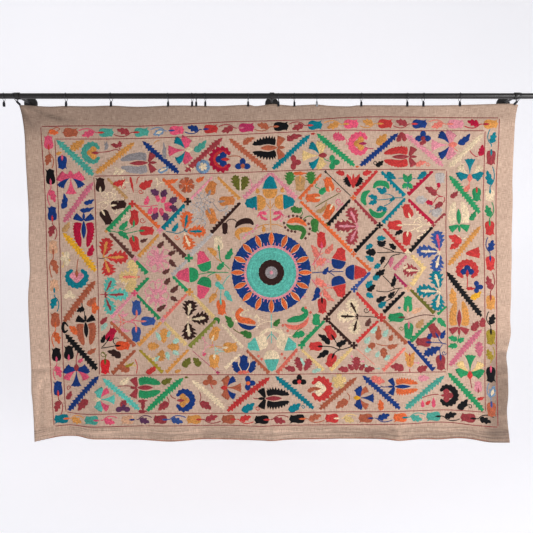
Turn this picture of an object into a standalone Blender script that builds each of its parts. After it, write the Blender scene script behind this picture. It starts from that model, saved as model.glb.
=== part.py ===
"""Embroidered wall hanging, clipped by its top edge to ring clips on a curtain rod.

Metres, +Z up, +Y towards the wall. The origin is the centre of the centre
bracket's wall plate, on its back face.
"""
import math

import bmesh
import bpy
from mathutils import Matrix, Vector

COLLECTION_NAME = "suzani_hanging"
TOUCH_GAP = 0.0003

# Rod and end caps
ROD_DIAMETER = 0.024
ROD_LENGTH = 2.54
ROD_STAND_OFF = 0.120
ROD_SIDES = 24
CAP_WALL = 0.0018
CAP_LENGTH = 0.024
CAP_END = 0.004
CAP_EASE = 0.0012

# Wall brackets
BRACKET_X = {"left": -1.121, "centre": 0.0, "right": 1.077}
PLATE_DIAMETER = 0.062
PLATE_THICKNESS = 0.008
PLATE_EASE = 0.002
ARM_DIAMETER = 0.012
COLLAR_LENGTH = 0.021
COLLAR_WALL = 0.0027
SCREW_DIAMETER = 0.005
SCREW_LENGTH = 0.004

# Rings
RING_OUTER_DIAMETER = 0.039
RING_WIRE = 0.0022
RING_STEPS = 20
RING_WIRE_SIDES = 6

# Clips, measured from the centre of the eye down
CLIP_WIDTH = 0.009
CLIP_LENGTH = 0.0225
CLIP_ROOF = 0.009
EYE_WIRE = 0.0018
EYE_CENTRE_RADIUS = 0.0024
CLIP_SIDE = (
    # half depth, drop below the eye
    (0.0015, 0.0024),
    (0.0022, 0.0060),
    (0.0038, 0.0120),
    (0.0031, 0.0195),
    (0.0040, CLIP_LENGTH),
)

# Cloth
CLOTH_THICKNESS = 0.002
CLOTH_COLUMNS = 44
CLOTH_ROWS = 30
FLAT_STRIP = 0.020
SETTLE_DROP = 0.080

RINGS = (
    # name, x on the rod, turn about Z in degrees, lean in degrees
    ("spare", -1.182, 13, 0),
    ("01", -1.137, -4, 16),
    ("02", -0.908, 5, 0),
    ("03", -0.710, -6, 0),
    ("04", -0.458, 3, 0),
    ("05", -0.352, -5, 0),
    ("06", -0.334, 4, 0),
    ("07", -0.294, -3, 0),
    ("08", -0.105, 6, 0),
    ("09", 0.029, -4, 0),
    ("10", 0.099, 5, 0),
    ("11", 0.198, -6, 0),
    ("12", 0.394, 4, 0),
    ("13", 0.597, -5, 0),
    ("14", 0.668, 3, 0),
    ("15", 0.829, -4, 0),
    ("16", 1.093, 5, -16),
)
CORNER_CLIP_TILT = 45
BRIGHT_CLIP = "11"

TOP_EDGE = (
    # x, height of the edge, sag before the next row, forward swell below that sag
    (-1.116, -0.0375, 0.0060, 0.007),
    (-0.908, -0.0400, 0.0040, -0.006),
    (-0.710, -0.0395, 0.0045, 0.008),
    (-0.458, -0.0400, 0.0015, -0.003),
    (-0.352, -0.0400, 0.0000, 0.000),
    (-0.334, -0.0400, 0.0005, 0.002),
    (-0.294, -0.0405, 0.0020, 0.007),
    (-0.105, -0.0385, 0.0030, -0.005),
    (0.029, -0.0380, 0.0015, 0.004),
    (0.099, -0.0400, 0.0015, -0.003),
    (0.198, -0.0375, 0.0050, 0.009),
    (0.394, -0.0395, 0.0020, -0.006),
    (0.597, -0.0405, 0.0010, 0.003),
    (0.668, -0.0405, 0.0015, -0.004),
    (0.829, -0.0385, 0.0010, 0.008),
    (1.067, -0.0335, 0.0000, 0.000),
    (1.088, -0.0375, 0.0000, 0.000),
)

BOTTOM_EDGE = (
    # x, height
    (-1.090, -1.559),
    (-1.026, -1.550),
    (-0.930, -1.542),
    (-0.870, -1.544),
    (-0.815, -1.551),
    (-0.606, -1.550),
    (-0.476, -1.556),
    (-0.306, -1.547),
    (-0.182, -1.548),
    (0.006, -1.554),
    (0.226, -1.547),
    (0.498, -1.546),
    (0.586, -1.553),
    (0.684, -1.547),
    (0.853, -1.545),
    (0.914, -1.548),
    (1.001, -1.559),
    (1.093, -1.561),
)

LEFT_EDGE = (
    # height, x
    (-0.0375, -1.116),
    (-0.063, -1.109),
    (-0.144, -1.097),
    (-0.275, -1.094),
    (-0.516, -1.087),
    (-0.773, -1.090),
    (-0.905, -1.101),
    (-1.228, -1.096),
    (-1.365, -1.096),
    (-1.559, -1.090),
)

RIGHT_EDGE = (
    # height, x
    (-0.0375, 1.088),
    (-0.067, 1.080),
    (-0.109, 1.075),
    (-0.364, 1.071),
    (-0.723, 1.077),
    (-1.000, 1.081),
    (-1.066, 1.083),
    (-1.156, 1.068),
    (-1.224, 1.075),
    (-1.425, 1.077),
    (-1.561, 1.093),
)

HEM_WAVES = (
    # x of the wave, half width, forward swell at the hem, reach up the cloth
    (-1.070, 0.070, 0.010, 0.35),
    (-0.930, 0.090, -0.024, 0.30),
    (-0.780, 0.080, 0.008, 0.25),
    (-0.470, 0.110, 0.010, 0.30),
    (-0.290, 0.090, -0.008, 0.25),
    (-0.010, 0.120, 0.009, 0.30),
    (0.230, 0.120, -0.006, 0.25),
    (0.580, 0.080, 0.009, 0.30),
    (0.860, 0.110, -0.010, 0.30),
    (1.040, 0.080, 0.011, 0.35),
)

CREASES = (
    # start x and height, end x and height, half width, forward rise
    (-1.100, -0.060, -0.860, -0.150, 0.035, 0.007),
    (-1.105, -0.070, -0.960, -0.260, 0.035, -0.006),
    (-1.105, -0.080, -1.060, -0.480, 0.030, 0.006),
    (1.060, -0.060, 0.880, -0.170, 0.035, 0.005),
    (-1.096, -1.228, -0.600, -1.232, 0.040, -0.006),
    (-0.600, -1.232, 0.700, -1.226, 0.045, -0.003),
    (0.700, -1.226, 1.075, -1.222, 0.040, -0.006),
    (0.820, -1.120, 1.080, -1.130, 0.035, 0.007),
    (-1.090, -0.773, -0.850, -0.780, 0.040, 0.005),
    (-1.035, -1.240, -1.040, -1.500, 0.030, 0.006),
    (-0.325, -0.500, -0.330, -1.540, 0.045, -0.004),
    (0.000, -1.150, 0.002, -1.550, 0.040, 0.005),
    (0.577, -0.400, 0.585, -1.540, 0.045, 0.004),
    (-0.700, -0.300, -0.560, -0.900, 0.080, 0.004),
    (0.350, -0.250, 0.480, -0.760, 0.090, -0.004),
)

ROD_RADIUS = ROD_DIAMETER / 2
RING_CENTRE_RADIUS = (RING_OUTER_DIAMETER - RING_WIRE) / 2
RING_TOP = ROD_RADIUS + TOUCH_GAP + RING_WIRE / 2
COLLAR_RADIUS = ROD_RADIUS + TOUCH_GAP + COLLAR_WALL


def clear_scene():
    for item in list(bpy.data.objects):
        bpy.data.objects.remove(item, do_unlink=True)


def make_material(name, colour, roughness, metallic):
    material = bpy.data.materials.new(name)
    material.use_nodes = True
    shader = material.node_tree.nodes["Principled BSDF"]
    shader.inputs["Base Color"].default_value = (*colour, 1.0)
    shader.inputs["Roughness"].default_value = roughness
    shader.inputs["Metallic"].default_value = metallic
    material.diffuse_color = (*colour, 1.0)
    return material


def add_object(name, mesh, material, collection, location=(0.0, 0.0, 0.0)):
    item = bpy.data.objects.new(name, mesh)
    item.location = location
    collection.objects.link(item)
    if not mesh.materials:
        mesh.materials.append(material)
    return item


def move_to(item, collection):
    for owner in list(item.users_collection):
        owner.objects.unlink(item)
    collection.objects.link(item)


def evaluated_mesh(item, name):
    """A finished mesh of an object with its curve bevel and modifiers applied."""
    bpy.context.view_layer.update()
    graph = bpy.context.evaluated_depsgraph_get()
    mesh = bpy.data.meshes.new_from_object(item.evaluated_get(graph))
    mesh.name = name
    return mesh


def smooth(mesh, degrees=35):
    mesh.shade_smooth()
    mesh.set_sharp_from_angle(angle=math.radians(degrees))


def cylinder_mesh(name, radius, length, sides, turn):
    """A capped cylinder centred on the origin, turned from Z to its own axis."""
    shape = bmesh.new()
    bmesh.ops.create_cone(
        shape, cap_ends=True, segments=sides, radius1=radius, radius2=radius, depth=length
    )
    bmesh.ops.transform(shape, matrix=turn, verts=shape.verts)
    mesh = bpy.data.meshes.new(name)
    shape.to_mesh(mesh)
    shape.free()
    return mesh


def turned_mesh(name, profile, steps, axis_turn, collection):
    """A solid of revolution from a closed half profile of (radius, height) points."""
    shape = bmesh.new()
    points = [shape.verts.new((radius, 0.0, height)) for radius, height in profile]
    for first, second in zip(points, points[1:]):
        shape.edges.new((first, second))
    if profile[0][0] > 0 and profile[-1][0] > 0:
        shape.edges.new((points[-1], points[0]))
    mesh = bpy.data.meshes.new(name + "_profile")
    shape.to_mesh(mesh)
    shape.free()
    item = bpy.data.objects.new(name + "_profile", mesh)
    collection.objects.link(item)
    screw = item.modifiers.new("turn", "SCREW")
    screw.axis = "Z"
    screw.steps = steps
    screw.render_steps = steps
    screw.use_merge_vertices = True
    screw.merge_threshold = 0.0001
    turned = evaluated_mesh(item, name)
    turned.transform(axis_turn)
    bpy.data.objects.remove(item, do_unlink=True)
    return turned


def union(name, first, others, collection):
    """One closed mesh from several overlapping ones."""
    base = bpy.data.objects.new(name + "_base", first)
    collection.objects.link(base)
    cutters = []
    for index, mesh in enumerate(others):
        cutter = bpy.data.objects.new(f"{name}_piece_{index}", mesh)
        cutter.hide_render = True
        cutter.display_type = "WIRE"
        collection.objects.link(cutter)
        cutters.append(cutter)
        join = base.modifiers.new(f"join_{index}", "BOOLEAN")
        join.operation = "UNION"
        join.solver = "EXACT"
        join.object = cutter
    joined = evaluated_mesh(base, name)
    for item in [base, *cutters]:
        bpy.data.objects.remove(item, do_unlink=True)
    return joined


def between(table, value):
    """Value of a table of (position, value) rows at one position, eased between rows."""
    rows = sorted(table)
    if value <= rows[0][0]:
        return rows[0][1]
    for (low, low_height), (high, high_height) in zip(rows, rows[1:]):
        if value <= high:
            share = (value - low) / (high - low)
            eased = share * share * (3 - 2 * share)
            return low_height + (high_height - low_height) * eased
    return rows[-1][1]


def top_height(x):
    """The top edge hangs in a shallow curve between each pair of grips."""
    for row, following in zip(TOP_EDGE, TOP_EDGE[1:]):
        if x <= following[0]:
            share = min(max((x - row[0]) / (following[0] - row[0]), 0.0), 1.0)
            straight = row[1] + (following[1] - row[1]) * share
            return straight - 4 * row[2] * share * (1 - share)
    return TOP_EDGE[-1][1]


def swell_between_grips(x, drop):
    """Forward or backward swell under each sag of the top edge, fading downwards."""
    for row, following in zip(TOP_EDGE, TOP_EDGE[1:]):
        width = following[0] - row[0]
        if row[0] <= x <= following[0]:
            share = (x - row[0]) / width
            fade = math.exp(-drop / (0.08 + 1.1 * width))
            return row[3] * math.sin(math.pi * share) ** 2 * fade
    return 0.0


def swell_of_hem(x, rise):
    """Waves that open towards the lower edge; rise is the height above it."""
    total = 0.0
    for centre, half_width, forward, reach in HEM_WAVES:
        across = math.exp(-((x - centre) / half_width) ** 2)
        total += forward * across * math.exp(-((rise / reach) ** 2))
    return total


def swell_of_creases(x, z):
    """Soft ridges and troughs along the fold lines, fading at both ends."""
    total = 0.0
    for start_x, start_z, end_x, end_z, half_width, forward in CREASES:
        start = Vector((start_x, start_z))
        line = Vector((end_x, end_z)) - start
        offset = Vector((x, z)) - start
        share = offset.dot(line) / line.length_squared
        beyond = max(0.0, -share, share - 1.0) * line.length
        away = (offset - line * share).length
        across = math.exp(-((away / half_width) ** 2))
        total += forward * across * math.exp(-((beyond / half_width) ** 2))
    return total


def cloth_depth(x, z, drop, rise):
    """Distance of the cloth from the plane under the rod, positive towards the viewer."""
    settled = min(max((drop - FLAT_STRIP) / SETTLE_DROP, 0.0), 1.0)
    settled = settled * settled * (3 - 2 * settled)
    swell = swell_between_grips(x, drop) + swell_of_hem(x, rise) + swell_of_creases(x, z)
    return settled * swell


def make_cloth(material, collection):
    bpy.ops.mesh.primitive_grid_add(x_subdivisions=CLOTH_COLUMNS, y_subdivisions=CLOTH_ROWS, size=2)
    cloth = bpy.context.object
    cloth.name = "cloth"
    cloth.data.name = "cloth"
    move_to(cloth, collection)
    top_left, top_right = TOP_EDGE[0], TOP_EDGE[-1]
    for vertex in cloth.data.vertices:
        across = (vertex.co.x + 1) / 2
        step = round((1 - vertex.co.y) / 2 * CLOTH_ROWS)
        top_x = top_left[0] + (top_right[0] - top_left[0]) * across
        bottom_x = BOTTOM_EDGE[0][0] + (BOTTOM_EDGE[-1][0] - BOTTOM_EDGE[0][0]) * across
        upper = top_height(top_x)
        lower = between(BOTTOM_EDGE, bottom_x)
        if step == 0:
            down = 0.0
        else:
            first = FLAT_STRIP / (upper - lower)
            down = first + (1 - first) * (step - 1) / (CLOTH_ROWS - 1)
        z = upper + (lower - upper) * down
        left_x = between(LEFT_EDGE, z)
        right_x = between(RIGHT_EDGE, z)
        if step == 0:
            left_x, right_x = top_left[0], top_right[0]
        x = left_x + (right_x - left_x) * across
        depth = cloth_depth(x, z, upper - z, z - lower)
        vertex.co = Vector((x, -ROD_STAND_OFF - depth, z))
    shell = cloth.modifiers.new("thickness", "SOLIDIFY")
    shell.thickness = CLOTH_THICKNESS
    shell.offset = 0.0
    shell.use_rim = True
    cloth.data.materials.append(material)
    cloth.data.shade_smooth()


def make_rod(material, collection):
    along_x = Matrix.Rotation(math.radians(90), 4, "Y")
    mesh = cylinder_mesh("rod", ROD_RADIUS, ROD_LENGTH, ROD_SIDES, along_x)
    smooth(mesh)
    add_object("rod", mesh, material, collection, (0.0, -ROD_STAND_OFF, 0.0))


def make_end_caps(material, collection):
    """Plain cups pushed over the rod's cut ends."""
    inner = ROD_RADIUS + TOUCH_GAP
    outer = inner + CAP_WALL
    profile = (
        (0.0, CAP_LENGTH),
        (outer - CAP_EASE, CAP_LENGTH),
        (outer, CAP_LENGTH - CAP_EASE),
        (outer, 0.0),
        (inner, 0.0),
        (inner, CAP_LENGTH - CAP_END),
        (0.0, CAP_LENGTH - CAP_END),
    )
    floor = ROD_LENGTH / 2 + TOUCH_GAP - (CAP_LENGTH - CAP_END)
    for name, side in (("end_cap_left", -1), ("end_cap_right", 1)):
        turn = Matrix.Rotation(math.radians(90 * side), 4, "Y")
        mesh = turned_mesh(name, profile, ROD_SIDES, turn, collection)
        smooth(mesh)
        add_object(name, mesh, material, collection, (side * floor, -ROD_STAND_OFF, 0.0))


def make_brackets(metal, screw_metal, collection):
    """Wall plate, arm and collar in one casting, with a set screw under the collar."""
    to_wall = Matrix.Rotation(math.radians(90), 4, "X")
    radius = PLATE_DIAMETER / 2
    plate_profile = (
        (0.0, PLATE_THICKNESS),
        (radius - PLATE_EASE, PLATE_THICKNESS),
        (radius, PLATE_THICKNESS - PLATE_EASE),
        (radius, 0.0),
        (0.0, 0.0),
    )
    collar_half = COLLAR_LENGTH / 2
    bore = ROD_RADIUS + TOUCH_GAP
    collar_profile = (
        (COLLAR_RADIUS, collar_half),
        (COLLAR_RADIUS, -collar_half),
        (bore, -collar_half),
        (bore, collar_half),
    )
    arm_end = ROD_STAND_OFF - bore - COLLAR_WALL / 2
    arm_start = PLATE_THICKNESS / 2
    arm_middle = -(arm_start + arm_end) / 2
    along_x = Matrix.Rotation(math.radians(90), 4, "Y")
    at_rod = Matrix.Translation((0.0, -ROD_STAND_OFF, 0.0))
    for side, x in BRACKET_X.items():
        name = f"bracket_{side}"
        plate = turned_mesh(name + "_plate", plate_profile, 32, to_wall, collection)
        collar = turned_mesh(name + "_collar", collar_profile, ROD_SIDES, at_rod @ along_x, collection)
        arm_turn = Matrix.Translation((0.0, arm_middle, 0.0)) @ to_wall
        arm = cylinder_mesh(name + "_arm", ARM_DIAMETER / 2, arm_end - arm_start, 16, arm_turn)
        mesh = union(name, plate, [arm, collar], collection)
        smooth(mesh)
        mesh.materials.clear()
        add_object(name, mesh, metal, collection, (x, 0.0, 0.0))
        screw_middle = -(COLLAR_RADIUS + TOUCH_GAP + SCREW_LENGTH / 2)
        upright = Matrix.Identity(4)
        screw = cylinder_mesh(f"set_screw_{side}", SCREW_DIAMETER / 2, SCREW_LENGTH, 12, upright)
        smooth(screw)
        place = (x, -ROD_STAND_OFF, screw_middle)
        add_object(f"set_screw_{side}", screw, screw_metal, collection, place)


def ring_mesh():
    bpy.ops.mesh.primitive_torus_add(
        major_radius=RING_CENTRE_RADIUS,
        minor_radius=RING_WIRE / 2,
        major_segments=RING_STEPS,
        minor_segments=RING_WIRE_SIDES,
    )
    item = bpy.context.object
    mesh = item.data
    mesh.name = "ring"
    bpy.data.objects.remove(item, do_unlink=True)
    mesh.transform(Matrix.Rotation(math.radians(90), 4, "Y"))
    mesh.transform(Matrix.Translation((0.0, 0.0, -RING_CENTRE_RADIUS)))
    mesh.shade_smooth()
    return mesh


def clip_mesh(collection):
    """Two jaws under one bridge, with the eye that hangs on the ring at the origin."""
    cloth_slot = CLOTH_THICKNESS / 2 + TOUCH_GAP
    outline = [(-depth, -drop) for depth, drop in CLIP_SIDE]
    outline += [(-cloth_slot, -CLIP_LENGTH), (-cloth_slot, -CLIP_ROOF)]
    outline += [(cloth_slot, -CLIP_ROOF), (cloth_slot, -CLIP_LENGTH)]
    outline += [(depth, -drop) for depth, drop in reversed(CLIP_SIDE)]
    curve = bpy.data.curves.new("clip_side", "CURVE")
    curve.dimensions = "2D"
    curve.fill_mode = "BOTH"
    curve.extrude = CLIP_WIDTH / 2
    spline = curve.splines.new("POLY")
    spline.points.add(len(outline) - 1)
    for point, (depth, height) in zip(spline.points, outline):
        point.co = (depth, height, 0.0, 1.0)
    spline.use_cyclic_u = True
    guide = bpy.data.objects.new("clip_side", curve)
    collection.objects.link(guide)
    body = evaluated_mesh(guide, "clip_body")
    bpy.data.objects.remove(guide, do_unlink=True)
    shape = bmesh.new()
    shape.from_mesh(body)
    bmesh.ops.remove_doubles(shape, verts=shape.verts, dist=0.00001)
    bmesh.ops.recalc_face_normals(shape, faces=shape.faces)
    shape.to_mesh(body)
    shape.free()
    upright = Matrix.Rotation(math.radians(90), 4, "Z") @ Matrix.Rotation(math.radians(90), 4, "X")
    body.transform(upright)
    bpy.ops.mesh.primitive_torus_add(
        major_radius=EYE_CENTRE_RADIUS,
        minor_radius=EYE_WIRE / 2,
        major_segments=12,
        minor_segments=6,
        rotation=(math.radians(90), 0.0, 0.0),
    )
    eye_item = bpy.context.object
    eye = evaluated_mesh(eye_item, "clip_eye")
    eye.transform(eye_item.matrix_world)
    bpy.data.objects.remove(eye_item, do_unlink=True)
    return union("clip", body, [eye], collection)


def make_rings_and_clips(ring_metal, clip_metal, bright_metal, collection):
    """Each ring rests on the rod, and its clip hangs by an eye from the ring's lowest point."""
    ring = ring_mesh()
    ring.materials.append(ring_metal)
    dark = clip_mesh(collection)
    dark.materials.clear()
    bright = dark.copy()
    dark.materials.append(clip_metal)
    bright.materials.append(bright_metal)
    for name, x, turn, lean in RINGS:
        top = Vector((x, -ROD_STAND_OFF, RING_TOP))
        lean_turn = Matrix.Rotation(math.radians(-lean), 4, "Y")
        ring_item = add_object(f"ring_{name}", ring, ring_metal, collection, top)
        ring_item.rotation_euler = (lean_turn @ Matrix.Rotation(math.radians(turn), 4, "Z")).to_euler()
        lowest = top + lean_turn.to_3x3() @ Vector((0.0, 0.0, -2 * RING_CENTRE_RADIUS))
        mesh = bright if name == BRIGHT_CLIP else dark
        clip_item = add_object(f"clip_{name}", mesh, clip_metal, collection, lowest)
        tilt = math.copysign(CORNER_CLIP_TILT, lean) if lean else 0
        clip_item.rotation_euler = (0.0, math.radians(-tilt), 0.0)


def main():
    clear_scene()
    collection = bpy.data.collections.new(COLLECTION_NAME)
    bpy.context.scene.collection.children.link(collection)
    linen = make_material("sand_linen", (0.45, 0.32, 0.25), 0.95, 0.0)
    black_metal = make_material("black_rod_metal", (0.012, 0.012, 0.013), 0.35, 0.0)
    dark_wire = make_material("dark_ring_wire", (0.03, 0.03, 0.035), 0.30, 1.0)
    dark_clip = make_material("dark_clip_metal", (0.02, 0.02, 0.022), 0.40, 1.0)
    bright_clip = make_material("bright_clip_metal", (0.62, 0.62, 0.62), 0.25, 1.0)
    make_rod(black_metal, collection)
    make_end_caps(black_metal, collection)
    make_brackets(black_metal, dark_wire, collection)
    make_rings_and_clips(dark_wire, dark_clip, bright_clip, collection)
    make_cloth(linen, collection)


main()
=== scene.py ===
import math
import random

import bmesh
import bpy
import numpy as np
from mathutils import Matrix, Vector


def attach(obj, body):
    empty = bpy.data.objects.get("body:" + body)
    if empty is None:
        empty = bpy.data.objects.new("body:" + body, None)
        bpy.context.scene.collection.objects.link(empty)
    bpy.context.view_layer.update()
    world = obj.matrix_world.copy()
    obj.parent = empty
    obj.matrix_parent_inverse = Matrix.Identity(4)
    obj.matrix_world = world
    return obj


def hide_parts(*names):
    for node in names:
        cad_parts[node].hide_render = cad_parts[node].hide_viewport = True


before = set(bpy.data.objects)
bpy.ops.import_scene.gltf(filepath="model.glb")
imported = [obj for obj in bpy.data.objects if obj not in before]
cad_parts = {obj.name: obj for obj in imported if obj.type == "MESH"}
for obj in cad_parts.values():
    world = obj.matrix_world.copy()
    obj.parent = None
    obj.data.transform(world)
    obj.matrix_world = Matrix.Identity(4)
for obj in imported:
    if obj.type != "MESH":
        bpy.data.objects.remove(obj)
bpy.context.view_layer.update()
bpy.ops.object.select_all(action="DESELECT")
bpy.context.scene.view_settings.view_transform = "Standard"
chance = random.Random(11)
print("frame loaded")

# the camera, and how a point of the 533 x 533 picture is looked at through it
view = {
    "place": (-0.024, -2.22, -0.635),
    "tilt": 3.2,          # degrees down
    "lens": 31.59,        # mm on a 36 mm sensor
    "picture": 533,
    "bow": 3.0e-7,        # the picture's lens bows straight lines outwards
    "bowFrom": 200,
}

# the hung cloth, in metres
hanging = {
    "underRod": -0.120,   # y of the plane below the rod
    "thickness": 0.0014,
    "columns": 216,
    "rows": 148,
    "flatStrip": 0.020,
    "settle": 0.080,
    "topLine": -0.039,
    "hemLine": -1.551,
    "flatSize": (2.17, 1.51),
    "creaseRise": 1.5,    # all the narrow creases together
}

# grips along the top edge: x, forward swell between this grip and the next
grips = (
    (-1.116, 0.007), (-0.908, -0.006), (-0.710, 0.008), (-0.458, -0.003), (-0.352, 0.000),
    (-0.334, 0.002), (-0.294, 0.007), (-0.105, -0.005), (0.029, 0.004), (0.099, -0.003),
    (0.198, 0.009), (0.394, -0.006), (0.597, 0.003), (0.668, -0.004), (0.829, 0.008),
    (1.067, 0.000), (1.088, 0.000),
)

# waves of the hem: x, half width, forward swell, reach up the cloth
hemWaves = (
    (-1.070, 0.070, 0.010, 0.35), (-0.930, 0.090, -0.024, 0.30), (-0.780, 0.080, 0.008, 0.25),
    (-0.470, 0.110, 0.010, 0.30), (-0.290, 0.090, -0.008, 0.25), (-0.010, 0.120, 0.009, 0.30),
    (0.230, 0.120, -0.006, 0.25), (0.580, 0.080, 0.009, 0.30), (0.860, 0.110, -0.010, 0.30),
    (1.040, 0.080, 0.011, 0.35),
)

# soft folds: x and height at both ends, half width, forward rise
softFolds = (
    (-1.100, -0.060, -0.860, -0.150, 0.035, 0.007), (-1.105, -0.070, -0.960, -0.260, 0.035, -0.006),
    (-1.105, -0.080, -1.060, -0.480, 0.030, 0.006), (1.060, -0.060, 0.880, -0.170, 0.035, 0.005),
    (-1.096, -1.228, -0.600, -1.232, 0.040, -0.006), (-0.600, -1.232, 0.700, -1.226, 0.045, -0.003),
    (0.700, -1.226, 1.075, -1.222, 0.040, -0.006), (0.820, -1.120, 1.080, -1.130, 0.035, 0.007),
    (-1.090, -0.773, -0.850, -0.780, 0.040, 0.005), (-1.035, -1.240, -1.040, -1.500, 0.030, 0.006),
    (-0.325, -0.500, -0.330, -1.540, 0.045, -0.004), (0.000, -1.150, 0.002, -1.550, 0.040, 0.005),
    (0.577, -0.400, 0.585, -1.540, 0.045, 0.004), (-0.700, -0.300, -0.560, -0.900, 0.080, 0.004),
    (0.350, -0.250, 0.480, -0.760, 0.090, -0.004),
)

# narrower creases, as the picture shows them: start and end in picture points, half width, rise in m
creases = (
    (31, 110, 62, 121, 0.016, -0.0022), (24, 110, 34, 128, 0.015, -0.0020), (25, 112, 27.5, 146, 0.014, -0.0018),
    (42, 116, 75, 122, 0.016, -0.0016), (26, 111, 48, 117, 0.014, 0.0018), (30, 370.5, 53, 369.5, 0.014, -0.0028),
    (31, 366, 52, 365, 0.015, 0.0016), (49, 372, 38.7, 388, 0.014, 0.0024), (41, 374, 40, 424, 0.014, 0.0020),
    (46, 378, 45, 426, 0.014, -0.0018), (497, 346.5, 505, 348, 0.014, 0.0028), (497, 352, 504, 354, 0.014, -0.0020),
    (498, 375.5, 506, 375, 0.014, 0.0022), (497, 414.5, 505, 414.5, 0.014, 0.0022),
    (30, 271, 46, 270, 0.014, -0.0016), (144, 428, 146, 440, 0.014, 0.0016), (197, 428, 199, 439, 0.014, 0.0016),
    (271, 428, 273, 441, 0.014, -0.0018), (396, 426, 401, 440, 0.014, 0.0020), (403, 424, 396, 438, 0.014, 0.0016),
    (60, 431, 140, 433, 0.014, 0.0014), (150, 434, 250, 434, 0.014, -0.0014), (240, 431, 330, 432, 0.014, 0.0014),
    (330, 433, 400, 432, 0.014, -0.0014), (410, 430, 480, 430, 0.014, 0.0014), (100, 429, 200, 430, 0.014, 0.0012),
    (497, 262, 511, 261, 0.014, 0.0012), (499, 302, 509, 301, 0.014, -0.0012), (30, 214, 43, 214, 0.014, 0.0012),
)

# painted light and shade on the linen, soft patches lighter (+) or darker (-): x, height, reach across, reach up, how
# much
paintedLightAndShade = (
    (-1.00, -0.04, 0.55, 0.13, -0.33), (0.00, -0.04, 0.62, 0.10, -0.31), (0.95, -0.04, 0.45, 0.09, -0.17),
    (-1.10, -0.25, 0.10, 0.22, -0.10), (-1.08, -1.00, 0.09, 0.42, 0.16), (-0.95, -1.54, 0.30, 0.06, 0.10),
    (1.06, -1.34, 0.085, 0.22, -0.56), (0.75, -1.55, 0.36, 0.060, -0.28), (0.10, -1.56, 0.40, 0.04, -0.05),
)

# the cloth's outline in picture points
topEdge = (
    (22.5, 107.7), (24.8, 107.1), (41.8, 107.8), (53, 108), (67, 107.1), (90, 107), (111, 106),
    (130, 106.7), (145, 106.6), (168, 105.3), (193, 105.1), (205, 105.3), (220, 105.4), (248, 104.1),
    (256, 105.4), (272, 103.4), (285, 104.4), (294, 104.9), (316, 103.9), (330, 105.2), (350, 105.9),
    (361, 104.9), (400, 105.4), (423, 105.9), (460, 106), (500, 105.6), (511, 106), (515.3, 107.2),
)
bottomEdge = (
    (37.4, 439.7), (50.6, 437), (62.8, 434.9), (73.6, 434.7), (81.2, 435.5), (92.7, 438.4), (111.8, 438.9),
    (140, 439.6), (168, 441.7), (186, 440.9), (205, 439.6), (232, 440.2), (260, 441.1), (273, 441.7),
    (290.6, 440.2), (321, 439.6), (344, 439), (380, 439), (399, 440.6), (420, 438.6), (438, 438.6),
    (456, 437.1), (469, 437.7), (487, 440.4), (506.3, 440.3),
)
leftEdge = (
    (22.5, 107.7), (23.8, 112.6), (25.1, 119.1), (26.5, 130.6), (27.2, 142), (27.6, 160), (28.6, 182),
    (29.9, 214), (29.7, 246), (30.9, 271), (29.3, 300), (31.7, 349), (32.9, 370), (33.4, 390),
    (34.5, 399), (36.1, 418), (37.4, 439.7),
)
rightEdge = (
    (515.1, 106.9), (513.9, 110.3), (512.2, 123), (511.4, 146), (510.5, 180), (511, 203), (510.2, 238),
    (510.3, 260), (509.8, 280), (509.7, 296), (508.7, 318), (509, 335), (504.8, 354.5), (505.8, 369),
    (506, 393), (504.4, 411.5), (506.5, 440.4),
)


def lookedAt(points, away):
    # where the lines of sight through picture points meet planes y = away
    points = np.asarray(points, dtype=float).reshape(-1, 2)
    half = view["picture"] / 2
    focal = view["lens"] / 36 * view["picture"]
    across = points[:, 0] - half
    down = points[:, 1] - half
    bow = 1 + view["bow"] * (across ** 2 + down ** 2 - view["bowFrom"] ** 2)
    tilt = math.radians(view["tilt"])
    rise = -down * bow / focal
    forward = rise * math.sin(tilt) + math.cos(tilt)
    upward = rise * math.cos(tilt) - math.sin(tilt)
    reach = (away - view["place"][1]) / forward
    x = view["place"][0] + across * bow / focal * reach
    z = view["place"][2] + upward * reach
    return x, z


def ridge(x, z, x0, z0, x1, z1, halfWidth, rise):
    runX, runZ = x1 - x0, z1 - z0
    length = math.hypot(runX, runZ)
    share = ((x - x0) * runX + (z - z0) * runZ) / length ** 2
    beyond = np.maximum(0, np.maximum(-share, share - 1)) * length
    away = np.abs((x - x0) * runZ - (z - z0) * runX) / length
    return rise * np.exp(-(away / halfWidth) ** 2 - (beyond / halfWidth) ** 2)


creaseLines = []
for x0, y0, x1, y1, halfWidth, rise in creases:
    creaseX, creaseZ = lookedAt(((x0, y0), (x1, y1)), hanging["underRod"])
    creaseLines.append((creaseX[0], creaseZ[0], creaseX[1], creaseZ[1], halfWidth, rise * hanging["creaseRise"]))


def clothDepth(x, z):
    # how far the cloth stands forward of the plane below the rod
    x = np.asarray(x, dtype=float)
    z = np.asarray(z, dtype=float)
    drop = hanging["topLine"] - z
    rise = np.maximum(z - hanging["hemLine"], 0)
    total = np.zeros_like(x)
    for (gripX, forward), (nextX, _) in zip(grips, grips[1:]):
        width = nextX - gripX
        share = np.clip((x - gripX) / width, 0, 1)
        total += forward * np.sin(np.pi * share) ** 2 * np.exp(-np.maximum(drop, 0) / (0.08 + 1.1 * width))
    for centre, halfWidth, forward, reach in hemWaves:
        total += forward * np.exp(-((x - centre) / halfWidth) ** 2 - (rise / reach) ** 2)
    for fold in softFolds:
        total += ridge(x, z, *fold)
    for fold in creaseLines:
        total += ridge(x, z, *fold)
    settled = np.clip((drop - hanging["flatStrip"]) / hanging["settle"], 0, 1)
    return total * settled * settled * (3 - 2 * settled)


def onCloth(points):
    # picture points laid on the front of the cloth
    away = np.full(len(points), hanging["underRod"])
    for _ in range(4):
        x, z = lookedAt(points, away)
        away = hanging["underRod"] - clothDepth(x, z) - hanging["thickness"] / 2
    return x, away, z


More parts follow.
